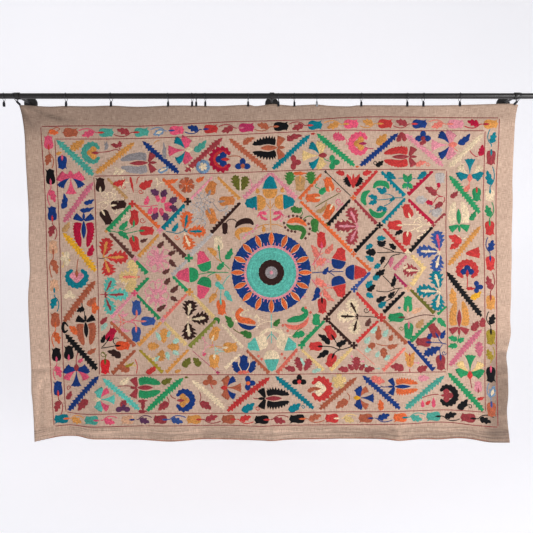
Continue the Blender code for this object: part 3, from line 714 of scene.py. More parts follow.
# lattice lines of the inner panel: thread, start, end, width, side of the teeth
latticeLines = (
    ("tan", 107, 178, 127, 198, 4, 1), ("green", 130, 205, 106, 230, 5.5, -1), ("orange", 134, 204, 158, 228, 4.5, -1),
    ("orange", 162, 178, 185, 200, 5, 1), ("teal", 184, 204, 161, 228, 5.5, -1), ("lightPink", 212, 176, 190, 198, 3, -1),
    ("amber", 217, 176, 240, 198, 4, 1), ("darkBrown", 240, 202, 211, 233, 4.5, 1), ("lightPink", 271, 172, 244, 198, 5, 1),
    ("lightPink", 271, 172, 296, 198, 5, -1), ("orange", 322, 173, 299, 198, 4, -1), ("orange", 300.7, 200.6, 352, 252, 4.5, -1),
    ("black", 351, 199, 328, 224, 4.5, -1), ("maroon", 355, 199, 378, 223, 4, 1), ("red", 378, 170, 356, 195, 4.5, 1),
    ("teal", 382, 171, 406, 195, 4.5, 1), ("teal", 406, 198, 383, 222, 4.5, -1), ("crimson", 433, 171, 409, 195, 4.5, 1),
    ("crimson", 409, 199, 434, 223, 4.5, 1), ("black", 379, 227, 356, 252, 4.5, 1), ("red", 384, 228, 406, 252, 4.5, -1),
    ("black", 433, 227, 411, 252, 4.5, 1), ("orange", 357, 257, 371, 271, 4, -1), ("maroon", 435, 223, 445, 213, 3, 1),
    ("paleYellow", 412, 255, 425, 270, 5, -1), ("brown", 162, 233, 185, 256, 5, 1), ("amber", 158, 234, 137, 256, 4.5, -1),
    ("brown", 109, 233, 132, 258, 4.5, -1), ("green", 135, 261, 147, 273, 5, 1), ("green", 147.8, 277.8, 135.8, 291.3, 4.5, 1),
    ("green", 136, 295, 159.4, 319, 4, 1), ("green", 171.6, 276, 187, 290.7, 4, 1), ("salmon", 186.3, 294.3, 163.7, 318.8, 4, 1),
    ("lightPink", 131.8, 294.9, 111, 318.6, 4, 1), ("rust", 109.9, 321.8, 134.9, 346, 4.5, 1),
    ("paleYellow", 163.4, 322.5, 186.3, 345, 4.5, 1), ("paleYellow", 191.2, 294.3, 213.9, 317.6, 4.5, 1), ("cream", 221, 324, 243, 348, 3.6, 1), ("cream", 240.2, 354.6, 225, 370, 3.6, 1), ("paleGrey", 212, 233, 190, 256, 5, 1), ("paleGrey", 187, 260, 171.5, 276, 4.5, 1), ("dustyPink", 407.5, 255.5, 394, 269, 4.5, -1), ("amber", 160.6, 322.5, 138, 346.4, 4.5, 1),
    ("moss", 215.1, 320.7, 188, 347, 5, -1), ("rust", 134.9, 350.5, 112.4, 374.3, 4.5, 1),
    ("ochre", 138.6, 350.3, 161.8, 373.6, 4, -1), ("amber", 188, 350.3, 166, 373.6, 4, 1),
    ("rust", 246.3, 351, 269.6, 373.6, 4, 1), ("coral", 297.8, 349.7, 276.3, 373.6, 4.5, -1),
    ("paleYellow", 302, 350.3, 324.7, 370.6, 4, 1), ("green", 325.3, 321.3, 303, 345, 4.5, 1),
    ("darkBrown", 352, 291.3, 329, 316.4, 4, 1), ("red", 357.2, 292.5, 379.2, 315.8, 4.5, 1),
    ("blue", 371.2, 272.3, 357.2, 287.6, 4, 1), ("darkBrown", 329, 321.3, 352.3, 344, 4, 1),
    ("red", 379.2, 321.3, 357.8, 343.3, 4, 1), ("magenta", 395, 273.5, 408, 286.5, 3.5, 1),
    ("black", 405.5, 291.9, 385, 313.3, 4.5, 1), ("rust", 384, 320, 408, 343.5, 4.5, 1),
    ("paleYellow", 352.9, 349, 331.4, 371.8, 4.5, 1), ("salmon", 406, 348, 384, 371.8, 4, 1),
    ("paleYellow", 423.6, 269.3, 412.8, 285.9, 5, 1), ("olive", 411.2, 289.7, 434.4, 313.9, 4.5, -1),
    ("green", 436.4, 317.7, 411.8, 342.3, 4.5, 1), ("green", 446.9, 306.3, 438.3, 315.2, 3, 1),
     ("navy", 408.3, 341.3, 433.2, 370.7, 5, -1),
)

# plain lattice lines: thread, points
plainLines = (
    ("black", ((326, 171), (352, 196)), 1.3),
    ("dustyPink", ((191.2, 351), (217.6, 373.6)), 1.2),
    ("salmon", ((357, 349), (376, 366)), 0.9),
)

# small stars where the lattice lines meet: thread, x, y, reach
nodes = (
    ("red", 131.5, 203.5, 3.8), ("amber", 105.5, 231, 2), ("lightPink", 159, 230, 3.4), ("lightPink", 134, 259, 3.4),
    ("darkBrown", 187, 201, 4), ("green", 188, 258, 4.4), ("black", 326, 171, 1.6), ("orange", 354, 197, 3),
    ("orange", 354.5, 254, 3), ("black", 380.5, 225, 3.4), ("cream", 408.5, 252, 3.6), ("maroon", 434, 225, 2.4),
    ("pink", 133.7, 293.4, 3.4), ("amber", 188.8, 292.2, 4), ("lightPink", 162, 320, 3), ("blue", 355, 289.4, 3.6),
    ("darkBrown", 327.5, 319.4, 3.8), ("red", 382.3, 317.9, 4.6), ("peach", 409.2, 288.4, 3.8), ("darkBrown", 354.7, 346, 3.8),
    ("green", 302, 346, 3.8), ("olive", 327.5, 224.5, 2.6), ("magenta", 217.5, 373.5, 2.2),
)

# flowers of five spread petals: heart, tip of the middle petal, threads
fans = (
    (187, 149, 167, 150.5, "pink", "teal", "pink", "cream"), (322, 154.5, 302, 155, "paleYellow", "teal", "paleYellow", "maroon"),
    (451, 145, 430.5, 145.5, "lightPink", "navy", "lightPink", "salmon"), (469.2, 177, 469.2, 158.5, "teal", "cream", "teal", "salmon"),
    (469.2, 373.5, 469.8, 354, "green", "paleYellow", "green", "red"), (71, 176, 71.5, 195, "pink", "navy", "pink", "pink"),
    (76.8, 368.6, 76.8, 386.8, "navy", "pink", "navy", "maroon"), (98.6, 399.3, 115.5, 399.3, "turquoise", "pink", "turquoise", "cream"),
    (224.9, 388.6, 241.7, 388.5, "rust", "navy", "rust", "red"), (358.4, 398.4, 374.9, 398.4, "navy", "rust", "navy", "yellow"),
)

# open carnations: thread, x, y, radius, where they open in degrees, clover, core
carnations = (
    ("tealGreen", 92.5, 153, 11, 0, "amber", "maroon"), ("crimson", 221.5, 158.5, 13, 0, "navy", "red", "red", 0.22),
    ("pink", 360, 143, 11.8, 0, "amber", "magenta"), ("red", 467.2, 270.5, 11.2, 90, "navy", "red"),
    ("teal", 76.6, 277, 11.6, -90, "lightPink", "rust"), ("navy", 183.6, 400.9, 11.5, 180, "amber", "maroon"),
    ("red", 320.5, 389.5, 12.4, 180, "cream", "rust", None, 0.22), ("black", 447, 395, 11, 180, "maroon", "maroon", None, 0.16),
)

# palmettes: base, tip, width, calyx, halves, lens, jag
palmettes = (
    (155, 162, 120, 163.5, 20, "maroon", "grey", "maroon", 0.05), (284, 146.5, 252, 147.5, 23, "rust", "black", "rust", 0.28),
    (416, 156.5, 384, 156.5, 20, "maroon", "red", "maroon", 0.1), (459.5, 231, 458, 201, 20, "green", "cream", "green", 0.1),
    (459, 334, 459.5, 300.5, 19, "maroon", "amber", "maroon", 0.1), (83.5, 214, 83.5, 247.5, 20, "navy", "crimson", "navy", 0.12),
    (85, 316, 87, 345.5, 19, "black", "rust", "black", 0.12), (131, 388, 160.5, 388, 21, "maroon", "green", "maroon", 0.12),
    (259, 399.5, 290, 399, 21, "black", "black", "maroon", 0.28), (389, 387, 418.5, 386.5, 17, "navy", "orange", "navy", 0.25),
)

# single tulips: thread, core, base, mouth, width
tulips = (
    ("navy", "pink", 63, 156, 63, 169, 8.5), ("green", "red", 476, 188, 476, 201, 8), ("black", "pink", 69.3, 359.5, 69.3, 346, 8.5),
    ("lightPink", "maroon", 477, 391.5, 477, 381, 7),
    ("darkBrown", "cream", 100, 192, 100, 178, 8.5),
    ("darkBrown", "cream", 110, 205.5, 125, 203.5, 8.5), ("darkBrown", "cream", 101.5, 210, 109, 223.5, 8.5),
    ("red", "green", 133, 225.5, 133.8, 210, 8.5), ("red", "green", 138.5, 230.5, 152.5, 230.5, 8.5),
    ("red", "green", 132, 236, 135.5, 251, 8.5), ("ginger", "grey", 208.5, 194, 212.5, 181, 9.5), ("ginger", "grey", 218.5, 201, 234, 199.5, 9),
    ("ginger", "grey", 207.5, 208, 214, 222.5, 9), ("tan", "amber", 300.5, 175, 300.5, 190, 9.5),
    ("orange", "cream", 331.5, 191, 327.5, 177, 8.5), ("orange", "cream", 321, 197, 306.5, 197.5, 8.5),
    ("orange", "cream", 333, 204, 326, 218, 8.5), ("paleGrey", None, 440, 172.5, 440, 183, 9), ("darkBrown", None, 224.5, 222, 224.5, 233.5, 5.5),
    ("darkGreen", None, 315, 218, 315.5, 231.5, 7.4), ("cream", "green", 218.5, 250, 217, 236, 8.5), ("red", "pink", 322.5, 248, 321.5, 232, 8.5),
    ("red", "cream", 403, 225, 389, 225, 9), ("red", "cream", 411, 217.5, 406, 204.5, 8.5), ("red", "cream", 408.5, 231, 407, 245, 8),
    ("orange", "turquoise", 220, 299.8, 221.5, 315, 8.5), ("crimson", "black", 107, 341, 113.5, 329, 8),
    ("flame", "black", 115, 346, 128.6, 346, 8.5), ("scarlet", "olive", 105, 359.3, 105, 373.6, 8.5),
    ("blue", "salmon", 136, 316, 135.5, 301, 8.5), ("blue", "salmon", 140, 321.5, 154, 321.5, 8.5), ("blue", "salmon", 135.5, 326.8, 135.5, 341.8, 8.5),
    ("amber", "cream", 211.5, 341, 216.5, 328, 8.5), ("amber", "cream", 222.4, 348.5, 236.5, 348, 9.5), ("amber", "cream", 214, 355, 213.5, 368.5, 9.5),
    ("red", "black", 322.5, 298.3, 323, 313.6, 8.5), ("green", "brown", 405, 317.5, 389.6, 318, 8.5),
    ("green", "peach", 408.5, 312.3, 409, 296.7, 8.5), ("green", "dustyPink", 409.5, 322.8, 409, 338.8, 8.5),
    ("maroon", "navy", 438.5, 337.5, 431, 324.5, 8.5), ("maroon", "navy", 431.5, 342.5, 417, 342, 8.5),
    ("maroon", "navy", 440.5, 354.8, 441, 369.8, 8.5), ("red", "black", 335, 340, 327, 327, 8.5),
    ("red", "black", 323, 347, 310, 347, 8.5), ("red", "black", 334.5, 354.5, 329, 367, 8.5), ("green", None, 316.5, 326, 317, 314.5, 7.4),
    ("navy", None, 243.6, 372, 243.6, 356.5, 8.4),
)

# bells in two threads: foot, mouth, width, thread of the foot, thread of the mouth
bells = (
    (270, 198, 270, 175.5, 14.6, "amber", "teal"), (266, 202, 245.5, 202.5, 14.4, "amber", "teal"), (274.5, 201.5, 294.5, 201, 14.4, "amber", "teal"),
    (206, 271.5, 199.5, 251.5, 13, "green", "pink"), (206, 277, 199.5, 298.5, 13, "green", "pink"), (198, 274.7, 176, 275.3, 14, "green", "pink"),
    (337.5, 269, 342.5, 248, 13.6, "navy", "red"), (337.5, 276, 342.5, 297, 13.6, "navy", "red"), (346, 272, 367, 273, 14, "navy", "red"),
    (271.5, 351, 271.8, 371.5, 14.4, "cream", "turquoise"), (265, 342, 248, 348, 13.4, "cream", "turquoise"),
    (278.5, 342, 296, 348, 13.4, "cream", "turquoise"),
)

# lobed leaves: thread, vein, foot, tip, width
oaks = (
    ("red", "amber", 103, 256, 107, 238, 14), ("red", "amber", 106, 257.5, 127, 257, 13.5), ("red", "amber", 104.5, 260.5, 109.5, 275, 14),
    ("orange", "teal", 184, 229, 187, 211, 13.5), ("orange", "teal", 186, 231, 205, 231, 12.5), ("orange", "cream", 184, 234, 190, 249, 13),
    ("maroon", "lightPink", 358, 226, 335.5, 225.5, 13), ("maroon", "lightPink", 357.5, 223.5, 350, 207.5, 12.5), ("maroon", "lightPink", 357.5, 228.5, 350, 244, 12.5),
    ("blue", "pink", 440, 249, 437, 231, 13.5), ("blue", "cream", 439, 251.5, 417.5, 251, 13), ("blue", "cream", 440, 254, 436, 271, 13.5),
    ("turquoise", "maroon", 106, 295, 127, 294.5, 13), ("turquoise", "maroon", 105, 293, 112, 278, 12.5), ("turquoise", "maroon", 105, 297, 111.5, 314, 12.5),
    ("paleYellow", "salmon", 137.5, 277, 118.5, 277, 14), ("paleYellow", None, 135, 279.5, 126.5, 291.5, 11), ("paleYellow", None, 136, 274.5, 129, 260, 11),
    ("darkBrown", "cream", 190, 320, 208, 318, 13.5), ("darkBrown", "cream", 187.5, 317, 190, 301, 15),
    ("darkBrown", "cream", 187, 323, 189, 340, 15), ("cream", "darkBrown", 358, 315, 350, 300, 13), ("cream", "darkBrown", 357, 317, 338, 316.5, 13),
    ("cream", "darkBrown", 358, 319, 354, 334.5, 13), ("teal", "cream", 440, 289, 435, 271, 14),
    ("teal", "cream", 438.5, 291.5, 417.5, 290.5, 13.5), ("teal", "cream", 440, 293.5, 437, 310.5, 14),
    ("darkGreen", None, 289.5, 184.5, 290.5, 171, 11), ("darkGreen", None, 312, 184, 310.5, 171, 11), ("olive", None, 239, 190, 234, 174.5, 10), ("olive", None, 241.5, 190, 246, 175.5, 10), ("black", None, 351, 186.5, 346.5, 176.5, 8.5), ("black", None, 356.5, 186.5, 361.5, 176.5, 8.5), ("amber", None, 163, 344, 163.5, 329, 10), ("amber", None, 166, 347, 178.5, 348, 10), ("amber", None, 162, 350, 159, 361.5, 10), ("amber", None, 159, 346.5, 147, 347, 9), ("maroon", "cream", 419.5, 270.5, 404, 270, 13), ("maroon", None, 301.5, 372.5, 297, 358, 8.5), ("maroon", None, 305, 372, 310.5, 359.5, 8.5), ("maroon", None, 357, 371.5, 357, 357.5, 9.5), ("navy", None, 440.5, 347, 424.5, 355, 9), ("dustyPink", None, 479, 357, 478, 341.5, 8.5), ("pink", None, 346, 138.5, 333.5, 134.5, 9), ("amber", None, 85, 140.5, 71.5, 150, 9),
)

# single leaves and petals: thread, foot, tip, width, bend
leaves = (
    ("orange", 50.5, 131, 60, 133.5, 5.4, 0.1), ("grey", 106, 150, 107, 141, 3.4, 0), ("maroon", 118.5, 147, 119.5, 140.5, 4.4, 0.1), ("maroon", 118, 147.5, 110.5, 144.5, 4.4, 0.1),
    ("paleBlue", 157, 171, 169, 165, 5, 0.1), ("cream", 113, 175, 119, 168, 2.6, 0), ("cream", 117, 175, 125, 169, 2.6, 0),
    ("grey", 163, 160, 163, 141, 4, 0.05), ("tealGreen", 193, 150, 206, 139, 7, 0.1), ("cream", 186, 165, 195, 168, 3, 0.1),
    ("rust", 243, 144, 255, 137, 5.5, -0.1), ("maroon", 287, 140, 303, 135, 6, -0.1), ("red", 311, 133, 316, 133, 2.2, 0),
    ("amber", 376, 143, 386.5, 133, 8.5, 0.12), ("orange", 356, 166, 360, 166, 2.2, 0),
    ("black", 376, 165, 384, 160, 5, 0.1), ("salmon", 416, 166, 427, 162, 5, -0.1), ("maroon", 397, 141.5, 401, 131.5, 5, 0.1), ("maroon", 404.5, 141.5, 401.5, 131.5, 5, 0.1),
    ("maroon", 419, 144, 427, 139, 4.5, 0.1), ("navy", 457, 144, 469, 134, 6.5, 0.12), ("crimson", 478, 156.5, 481, 145, 6, 0.1),
    ("salmon", 463, 192, 469, 184, 5, 0.1), ("maroon", 450, 197, 458, 191, 5, 0.1), ("green", 469, 220, 475, 211, 5.5, 0.1),
    ("red", 461, 244, 448.5, 236, 8, 0.1), ("red", 459.5, 244.5, 450, 249.5, 6, 0.1), ("red", 466, 288.5, 475.5, 288.5, 3.4, 0), ("yellow", 470, 298, 481, 291, 6, 0.1),
    ("amber", 452, 304, 452, 287.5, 7, 0.08), ("green", 457, 341, 448, 337.5, 5.6, 0.1), ("green", 457.5, 341, 464, 337.5, 5, 0.1),
    ("green", 457.5, 346.5, 448, 347, 5.4, 0.1), ("maroon", 470.5, 330, 477.5, 320.5, 7, 0.1), ("maroon", 480, 327, 482, 317, 6.5, 0.1),
    ("red", 475.5, 398, 483, 396, 3.4, 0.1), ("amber", 57, 155, 63, 152.5, 3.4, 0),
    ("navy", 62, 209, 64, 193, 6, 0.14), ("navy", 83.5, 203, 94, 199, 4.6, 0.1), ("navy", 79.5, 210, 94, 207, 4.6, 0.1),
    ("crimson", 87, 256, 92, 244, 6, 0.1), ("tan", 62, 231.5, 69.5, 221.5, 5.6, 0.1), ("rust", 86, 304.5, 95.5, 297, 7, 0.12),
    ("orange", 76.5, 335, 69, 326, 6.5, 0.1), ("black", 84.5, 309.5, 76.5, 312, 5.4, 0.12), ("rust", 87, 353, 96, 348, 4.6, 0.1), ("pink", 78, 362, 83, 358, 3.6, 0.1),
    ("maroon", 67, 398.5, 72, 390, 5, 0.1), ("maroon", 89, 400, 79, 410.5, 7.6, 0.1), ("maroon", 137.5, 401.5, 148, 401, 3.2, 0), ("maroon", 143, 401, 142.5, 412, 4, 0), ("maroon", 138, 411.5, 147.5, 411.5, 3.2, 0), ("cream", 119, 384, 129, 377.5, 6, 0.1),
    ("maroon", 120, 406, 126, 399.5, 6.4, 0.1), ("olive", 160.5, 383, 171.6, 378.5, 6, 0.1), ("maroon", 169, 404, 158, 411, 7.4, 0.1),
    ("olive", 184, 378, 188, 378, 2.2, 0), ("maroon", 199, 404, 211, 410.5, 7.4, -0.1), ("teal", 241, 411, 254.5, 403.5, 7.6, 0.1),
    ("teal", 288, 410.5, 301, 404, 7.6, 0.1), ("rust", 307.5, 392, 315, 387.5, 4.6, 0.1), ("rust", 349, 402, 336, 409.5, 7.4, 0.1),
    ("orange", 380, 411, 380, 399.5, 6, 0.1), ("salmon", 372, 377, 386, 382, 8, 0.1), ("lightPink", 418, 378.5, 430, 378, 6.5, 0), ("pink", 422.5, 407.5, 422.5, 400, 3.6, 0),
    ("pink", 433.3, 407.5, 433.3, 397, 4, 0), ("red", 425.5, 404.5, 430.6, 400.4, 3.6, 0), ("black", 456, 407.5, 466.5, 398, 7, 0.12),
    # upper cells
    ("red", 112, 184, 125, 178.5, 6, 0.12), ("red", 129.5, 176, 133, 193, 2.6, 0), ("red", 138, 186, 152, 179, 8, 0.12),
    ("plum", 157, 195.5, 149.5, 189.5, 7, 0.1), ("plum", 160, 196, 165, 188.5, 7, 0.1), ("plum", 168, 201, 176.5, 196.5, 7, 0.1),
    ("plum", 169, 205, 177.5, 209.5, 7, 0.1), ("plum", 157.5, 212.5, 152, 220.5, 7.4, 0.1), ("plum", 164, 212, 167.5, 221, 7, 0.1),
    ("pink", 157, 202, 153, 193.5, 4.6, 0.2), ("pink", 160, 202, 163, 193.5, 4.6, 0.2), ("pink", 163, 203.5, 172.5, 200.5, 5, 0.2),
    ("pink", 164, 206, 173.5, 208, 5, 0.2), ("pink", 157, 207, 155.5, 216.5, 4.8, 0.2), ("pink", 161, 207, 165, 216.5, 4.8, 0.2),
    ("pink", 143.5, 204.5, 147, 195, 5, 0.1), ("pink", 147, 213.5, 151, 206, 5, 0.1), ("orange", 165, 181, 178, 178, 4.6, 0.1),
    ("orange", 195, 180, 204, 175.5, 4.6, 0.1), ("green", 118, 229, 127, 220, 5.4, 0.1), ("green", 117, 232, 128, 240, 5.4, -0.1),
    ("brown", 139, 241, 147, 238, 3.6, 0.1), ("teal", 171, 231, 177, 222, 4.6, 0.1), ("brown", 156, 247, 163, 240.5, 5, 0.1),
    ("brown", 167, 254, 175, 250, 4.6, 0.1), ("brown", 169, 259, 176, 267, 5, 0.1), ("brown", 161, 273, 169, 268.5, 4.6, 0.1),
    ("lightPink", 155, 258, 150, 249, 3.4, 0.2), ("lightPink", 156, 258, 162, 250, 3.4, 0.2), ("lightPink", 157, 259, 166, 259, 3.4, 0.2),
    ("lightPink", 156, 260, 160, 268, 3.4, 0.2), ("lightPink", 154, 260, 149, 267, 3.4, 0.2), ("lightPink", 153, 259, 145, 258, 3.4, 0.2),
    ("cream", 240.2, 190, 240, 176, 2.8, 0), ("amber", 258, 193, 256.5, 187, 4.4, 0),
    ("amber", 282, 192, 283.5, 186, 4.4, 0), ("pink", 267, 214, 257, 217, 3.6, 0.3), ("pink", 273, 214, 284, 217, 3.6, -0.3),
    ("pink", 268, 219, 259, 211, 3, -0.2), ("pink", 272, 219, 282, 211, 3, 0.2), ("amber", 263, 232, 263, 224.5, 4, 0.1),
    ("orange", 293, 172.5, 308, 172.5, 3.4, 0),
    ("green", 319, 192, 326, 186, 6.4, 0.14), ("tan", 316, 211, 327, 200, 4.4, 0.25), 
    ("red", 352.5, 184, 347.5, 173, 5, 0), ("red", 355.5, 184, 360.5, 173, 5, 0), ("red", 354, 188, 354, 172.5, 4, 0),
    ("red", 345, 174.5, 336, 171.5, 5.4, 0.1), ("red", 363.5, 174.5, 373, 171.5, 5.4, -0.1), ("darkGreen", 298.5, 212, 290.5, 207.5, 7, 0.1),
    ("darkGreen", 298, 213, 303, 207, 5, -0.1), ("green", 224.5, 259, 231.5, 247.5, 6, 0.1), ("green", 216, 269, 223.5, 261.5, 5.4, 0.1),
    ("turquoise", 215.5, 281.5, 224.5, 289.5, 5.6, 0.1), ("turquoise", 225.5, 290.5, 232.5, 302, 5.6, 0.1),
    ("amber", 215.5, 256, 206, 247.5, 5.4, 0.1), ("amber", 219.5, 281, 214.5, 274, 4.6, 0.1), ("amber", 216.5, 294.5, 208.5, 304, 5.6, 0.1),
    ("navy", 323, 274, 329, 266.5, 4.6, 0.1), ("navy", 317.5, 287, 311.5, 301.5, 6, -0.2),
    ("salmon", 316.5, 258, 311, 244.5, 6, 0.15), ("salmon", 325, 252.5, 333.5, 243, 5.6, 0.15), ("salmon", 317.5, 265.5, 327.5, 259, 7, -0.1), ("salmon", 316.5, 278.5, 328, 286, 7, 0.1),
    ("salmon", 325, 290, 336, 301.5, 5.4, 0.15),
    ("black", 404, 231, 395.5, 235.5, 4.4, 0.1), ("dustyPink", 394, 257, 391.5, 268, 4.6, 0.1),
    ("teal", 384, 194, 377, 187.5, 5, 0.1), ("teal", 385, 193, 385, 186, 5, 0), ("teal", 378, 199, 368.5, 195.5, 5, 0.1),
    ("teal", 378, 200.5, 369, 203.5, 5, 0), ("teal", 384, 206, 377, 211, 5, 0), ("teal", 385, 206, 386, 212.5, 5, 0),
    ("teal", 396, 198, 390, 201, 3.6, 0.1), ("teal", 388, 171, 397, 178.5, 6, 0.1), ("teal", 426, 171, 417, 178.5, 6, -0.1),
    ("green", 407.5, 182, 404, 173, 5, 0), ("green", 408.5, 182, 412, 173, 5, 0), ("green", 407.5, 183, 403, 188, 5, 0),
    ("green", 408.5, 183, 413, 188.5, 5, 0), ("maroon", 436, 196, 425, 187, 6.6, 0.12), ("crimson", 439, 188, 438.6, 180.5, 3.6, 0),
    ("crimson", 433, 205, 425, 201, 5, 0.1), ("maroon", 443.5, 203, 435, 209.5, 5.6, 0.1), ("paleGrey", 416, 199, 428, 200.5, 8.5, 0),
    ("paleGrey", 432, 215, 443, 209, 8.5, 0), ("teal", 377.5, 238, 387, 238, 5.4, 0), ("black", 382, 247, 378, 240.5, 5, 0.1),
    ("black", 382.5, 247, 387, 240.5, 5, -0.1), ("black", 396, 250, 389.5, 243.5, 5, 0.1), ("teal", 374, 245, 366.5, 249.5, 5, 0.1),
    ("black", 377, 252.5, 366.5, 252, 7.6, 0), ("teal", 374, 262, 366, 256, 5.6, 0.1), ("black", 386, 256.5, 382, 265, 4.6, 0.1),
    ("teal", 381.5, 264, 374.5, 268.5, 5, 0),
    ("cream", 404, 270, 409.5, 265, 4, 0), 
    
    
    # lower cells
    ("maroon", 100, 324.5, 107, 317, 5, 0), ("black", 100.5, 343, 104, 334.5, 4.4, 0.1), ("mint", 107, 323.5, 101, 331.5, 5, 0.1), ("darkBrown", 120, 358.5, 106.5, 351.5, 7, 0.12),
    ("rust", 129, 372, 117, 368, 7.4, 0.1), ("brown", 163, 284, 169, 277.5, 5, 0.1), ("brown", 169, 292, 177.5, 285, 5, 0.1),
    ("brown", 169.5, 297, 177, 301.5, 4.6, 0), ("brown", 156, 311.5, 165.5, 305, 5, 0), ("lightPink", 158, 293, 165, 286, 3.4, 0.2),
    ("lightPink", 156, 296, 148, 290, 3.4, 0.2), ("lightPink", 158, 299, 165, 303, 3.4, 0.2), ("lightPink", 155, 299, 148, 305, 3.4, 0.2),
    
    ("mint", 160, 341, 155, 332, 4.6, 0), ("mint", 166, 338, 169.5, 331, 4, 0),
    ("mint", 172, 344, 179, 339, 5, 0), ("mint", 172, 351, 178.5, 355.5, 5, 0), ("mint", 166, 352, 168, 361, 4.4, 0),
    ("mint", 160, 356, 153.5, 362, 4.6, 0), ("red", 145, 373, 156, 365, 5.6, 0.14), ("olive", 181, 366, 189.5, 358, 7.6, 0.14),
    ("olive", 198, 368, 192, 358.5, 7, 0.14), ("amber", 174, 373, 181, 370.5, 3.6, 0), ("pink", 202, 356.5, 206, 353.5, 3, 0),
    ("ochre", 124, 367, 134, 362, 3.4, 0.1), ("lightPink", 119, 315, 128, 312.5, 3, 0.2), ("lightPink", 120, 328, 131, 330, 3, 0.2),
    ("darkGreen", 230, 329, 224, 316, 6.6, 0.16), ("darkGreen", 251, 339, 239.5, 333, 7, 0.12), ("darkGreen", 273, 326, 280, 319, 5.4, 0.1),
    ("green", 305.5, 335, 293, 338.5, 7, 0.12), ("cream", 264, 350, 260.5, 332, 6.4, 0.1), ("cream", 280, 350, 283.5, 332, 6.4, -0.1),
    ("navy", 237, 374, 231, 362, 8.4, 0.16), ("navy", 250.5, 374, 256.5, 362, 8.4, -0.16),
    ("coral", 236, 373, 251.5, 373, 4, 0), ("coral", 243.6, 373, 243.6, 366, 3.4, 0), ("coral", 239.5, 373, 236, 367.5, 2.6, 0), ("coral", 247.5, 373, 251, 367.5, 2.6, 0),
    ("mint", 300.5, 358.5, 307, 370, 3, 0), ("maroon", 295.5, 372, 284.5, 369, 6, 0.1), ("maroon", 354, 371, 348.5, 364.5, 5, 0), ("maroon", 360, 371, 365.5, 364.5, 5, 0), ("mint", 312, 373, 324, 369, 4, 0), ("peach", 412, 313, 424, 308, 5, 0), ("green", 438, 318, 446.5, 327.5, 5.6, 0), ("brown", 366, 326.5, 371, 318, 5, 0.1),
    ("black", 376, 275, 386, 269, 6, 0.1), ("teal", 374, 280, 381, 274, 6, 0), ("teal", 367, 288, 373.5, 280.5, 6, 0),
    ("teal", 367, 293.5, 374.5, 298, 5.4, 0), ("teal", 379, 307.5, 387.5, 302, 6, 0), ("black", 368, 291, 376.5, 285, 6, 0),
    ("black", 377, 302, 387.5, 296.5, 5.4, 0), ("black", 392, 287, 395.5, 274, 4.6, 0.1), ("black", 389, 298, 396, 291.5, 4.6, 0),
    ("teal", 398.5, 308, 402, 308, 2.6, 0), ("tan", 416, 327.5, 424, 319, 6.4, 0.1), ("navy", 428, 339.5, 433, 332.5, 4.6, 0),
    ("navy", 441, 339, 445.5, 330, 4.6, 0), ("black", 330, 345.5, 318, 335, 6, 0.1),
    ("black", 336.5, 346, 348, 339, 5.4, 0.1), ("black", 329.5, 351.5, 317, 359, 5.6, 0), ("maroon", 349, 372, 338, 370, 6, 0.1),
    ("maroon", 365, 372, 376, 369.5, 6, -0.1), ("maroon", 404, 371, 390.5, 367, 8, 0.12), ("mint", 371.5, 333.5, 378.5, 327, 5, 0),
    ("mint", 384, 337.5, 389, 329.5, 5, 0), ("mint", 365.5, 344, 371, 337, 5, 0), ("mint", 365.5, 352.5, 373, 347, 5, 0),
    ("mint", 376.5, 358, 380, 351.5, 4, 0), ("mint", 385, 360.5, 391, 355.5, 4.6, 0), ("rust", 379, 341, 379.5, 325.5, 6, 0),
    ("rust", 390, 341.5, 393.5, 335, 4.6, 0), ("rust", 376, 344, 367.5, 350, 6, 0), ("rust", 384, 348, 385, 359.5, 7, 0),
    ("rust", 388, 348, 398.5, 346, 5, 0), ("amber", 410, 368, 405, 352, 6.4, 0.1), ("amber", 411, 368, 415.5, 352, 6.4, -0.1),
    ("crimson", 410.3, 368, 410.3, 352.5, 3.4, 0), ("maroon", 417, 369.5, 428, 366, 7, 0.1),
)

# three-petalled buds: thread, x, y, reach, direction in degrees, spread, layer, core
buds = (
    ("navy", 242.5, 165, 8, -90, 95, 0, "rust"), ("maroon", 294, 161.5, 7.6, 0, 95),
    ("green", 333, 161.5, 7.6, 0, 95), ("navy", 423, 138.5, 8, -90, 90, 0, "maroon"), ("navy", 476.5, 287, 6.4, 0, 95), ("cream", 67.5, 258.5, 7.4, 180, 80),
    ("cream", 69.5, 296, 6, -90, 95), ("plum", 123, 409, 7.4, -90, 95), ("rust", 209.5, 383, 7.4, -90, 95), ("navy", 248, 384, 7.6, 0, 95, 0, "orange"),
    ("black", 299.5, 382.5, 7.4, -90, 95, 0, "red"),
    ("orange", 92.5, 308, 6.4, 0, 72),
)

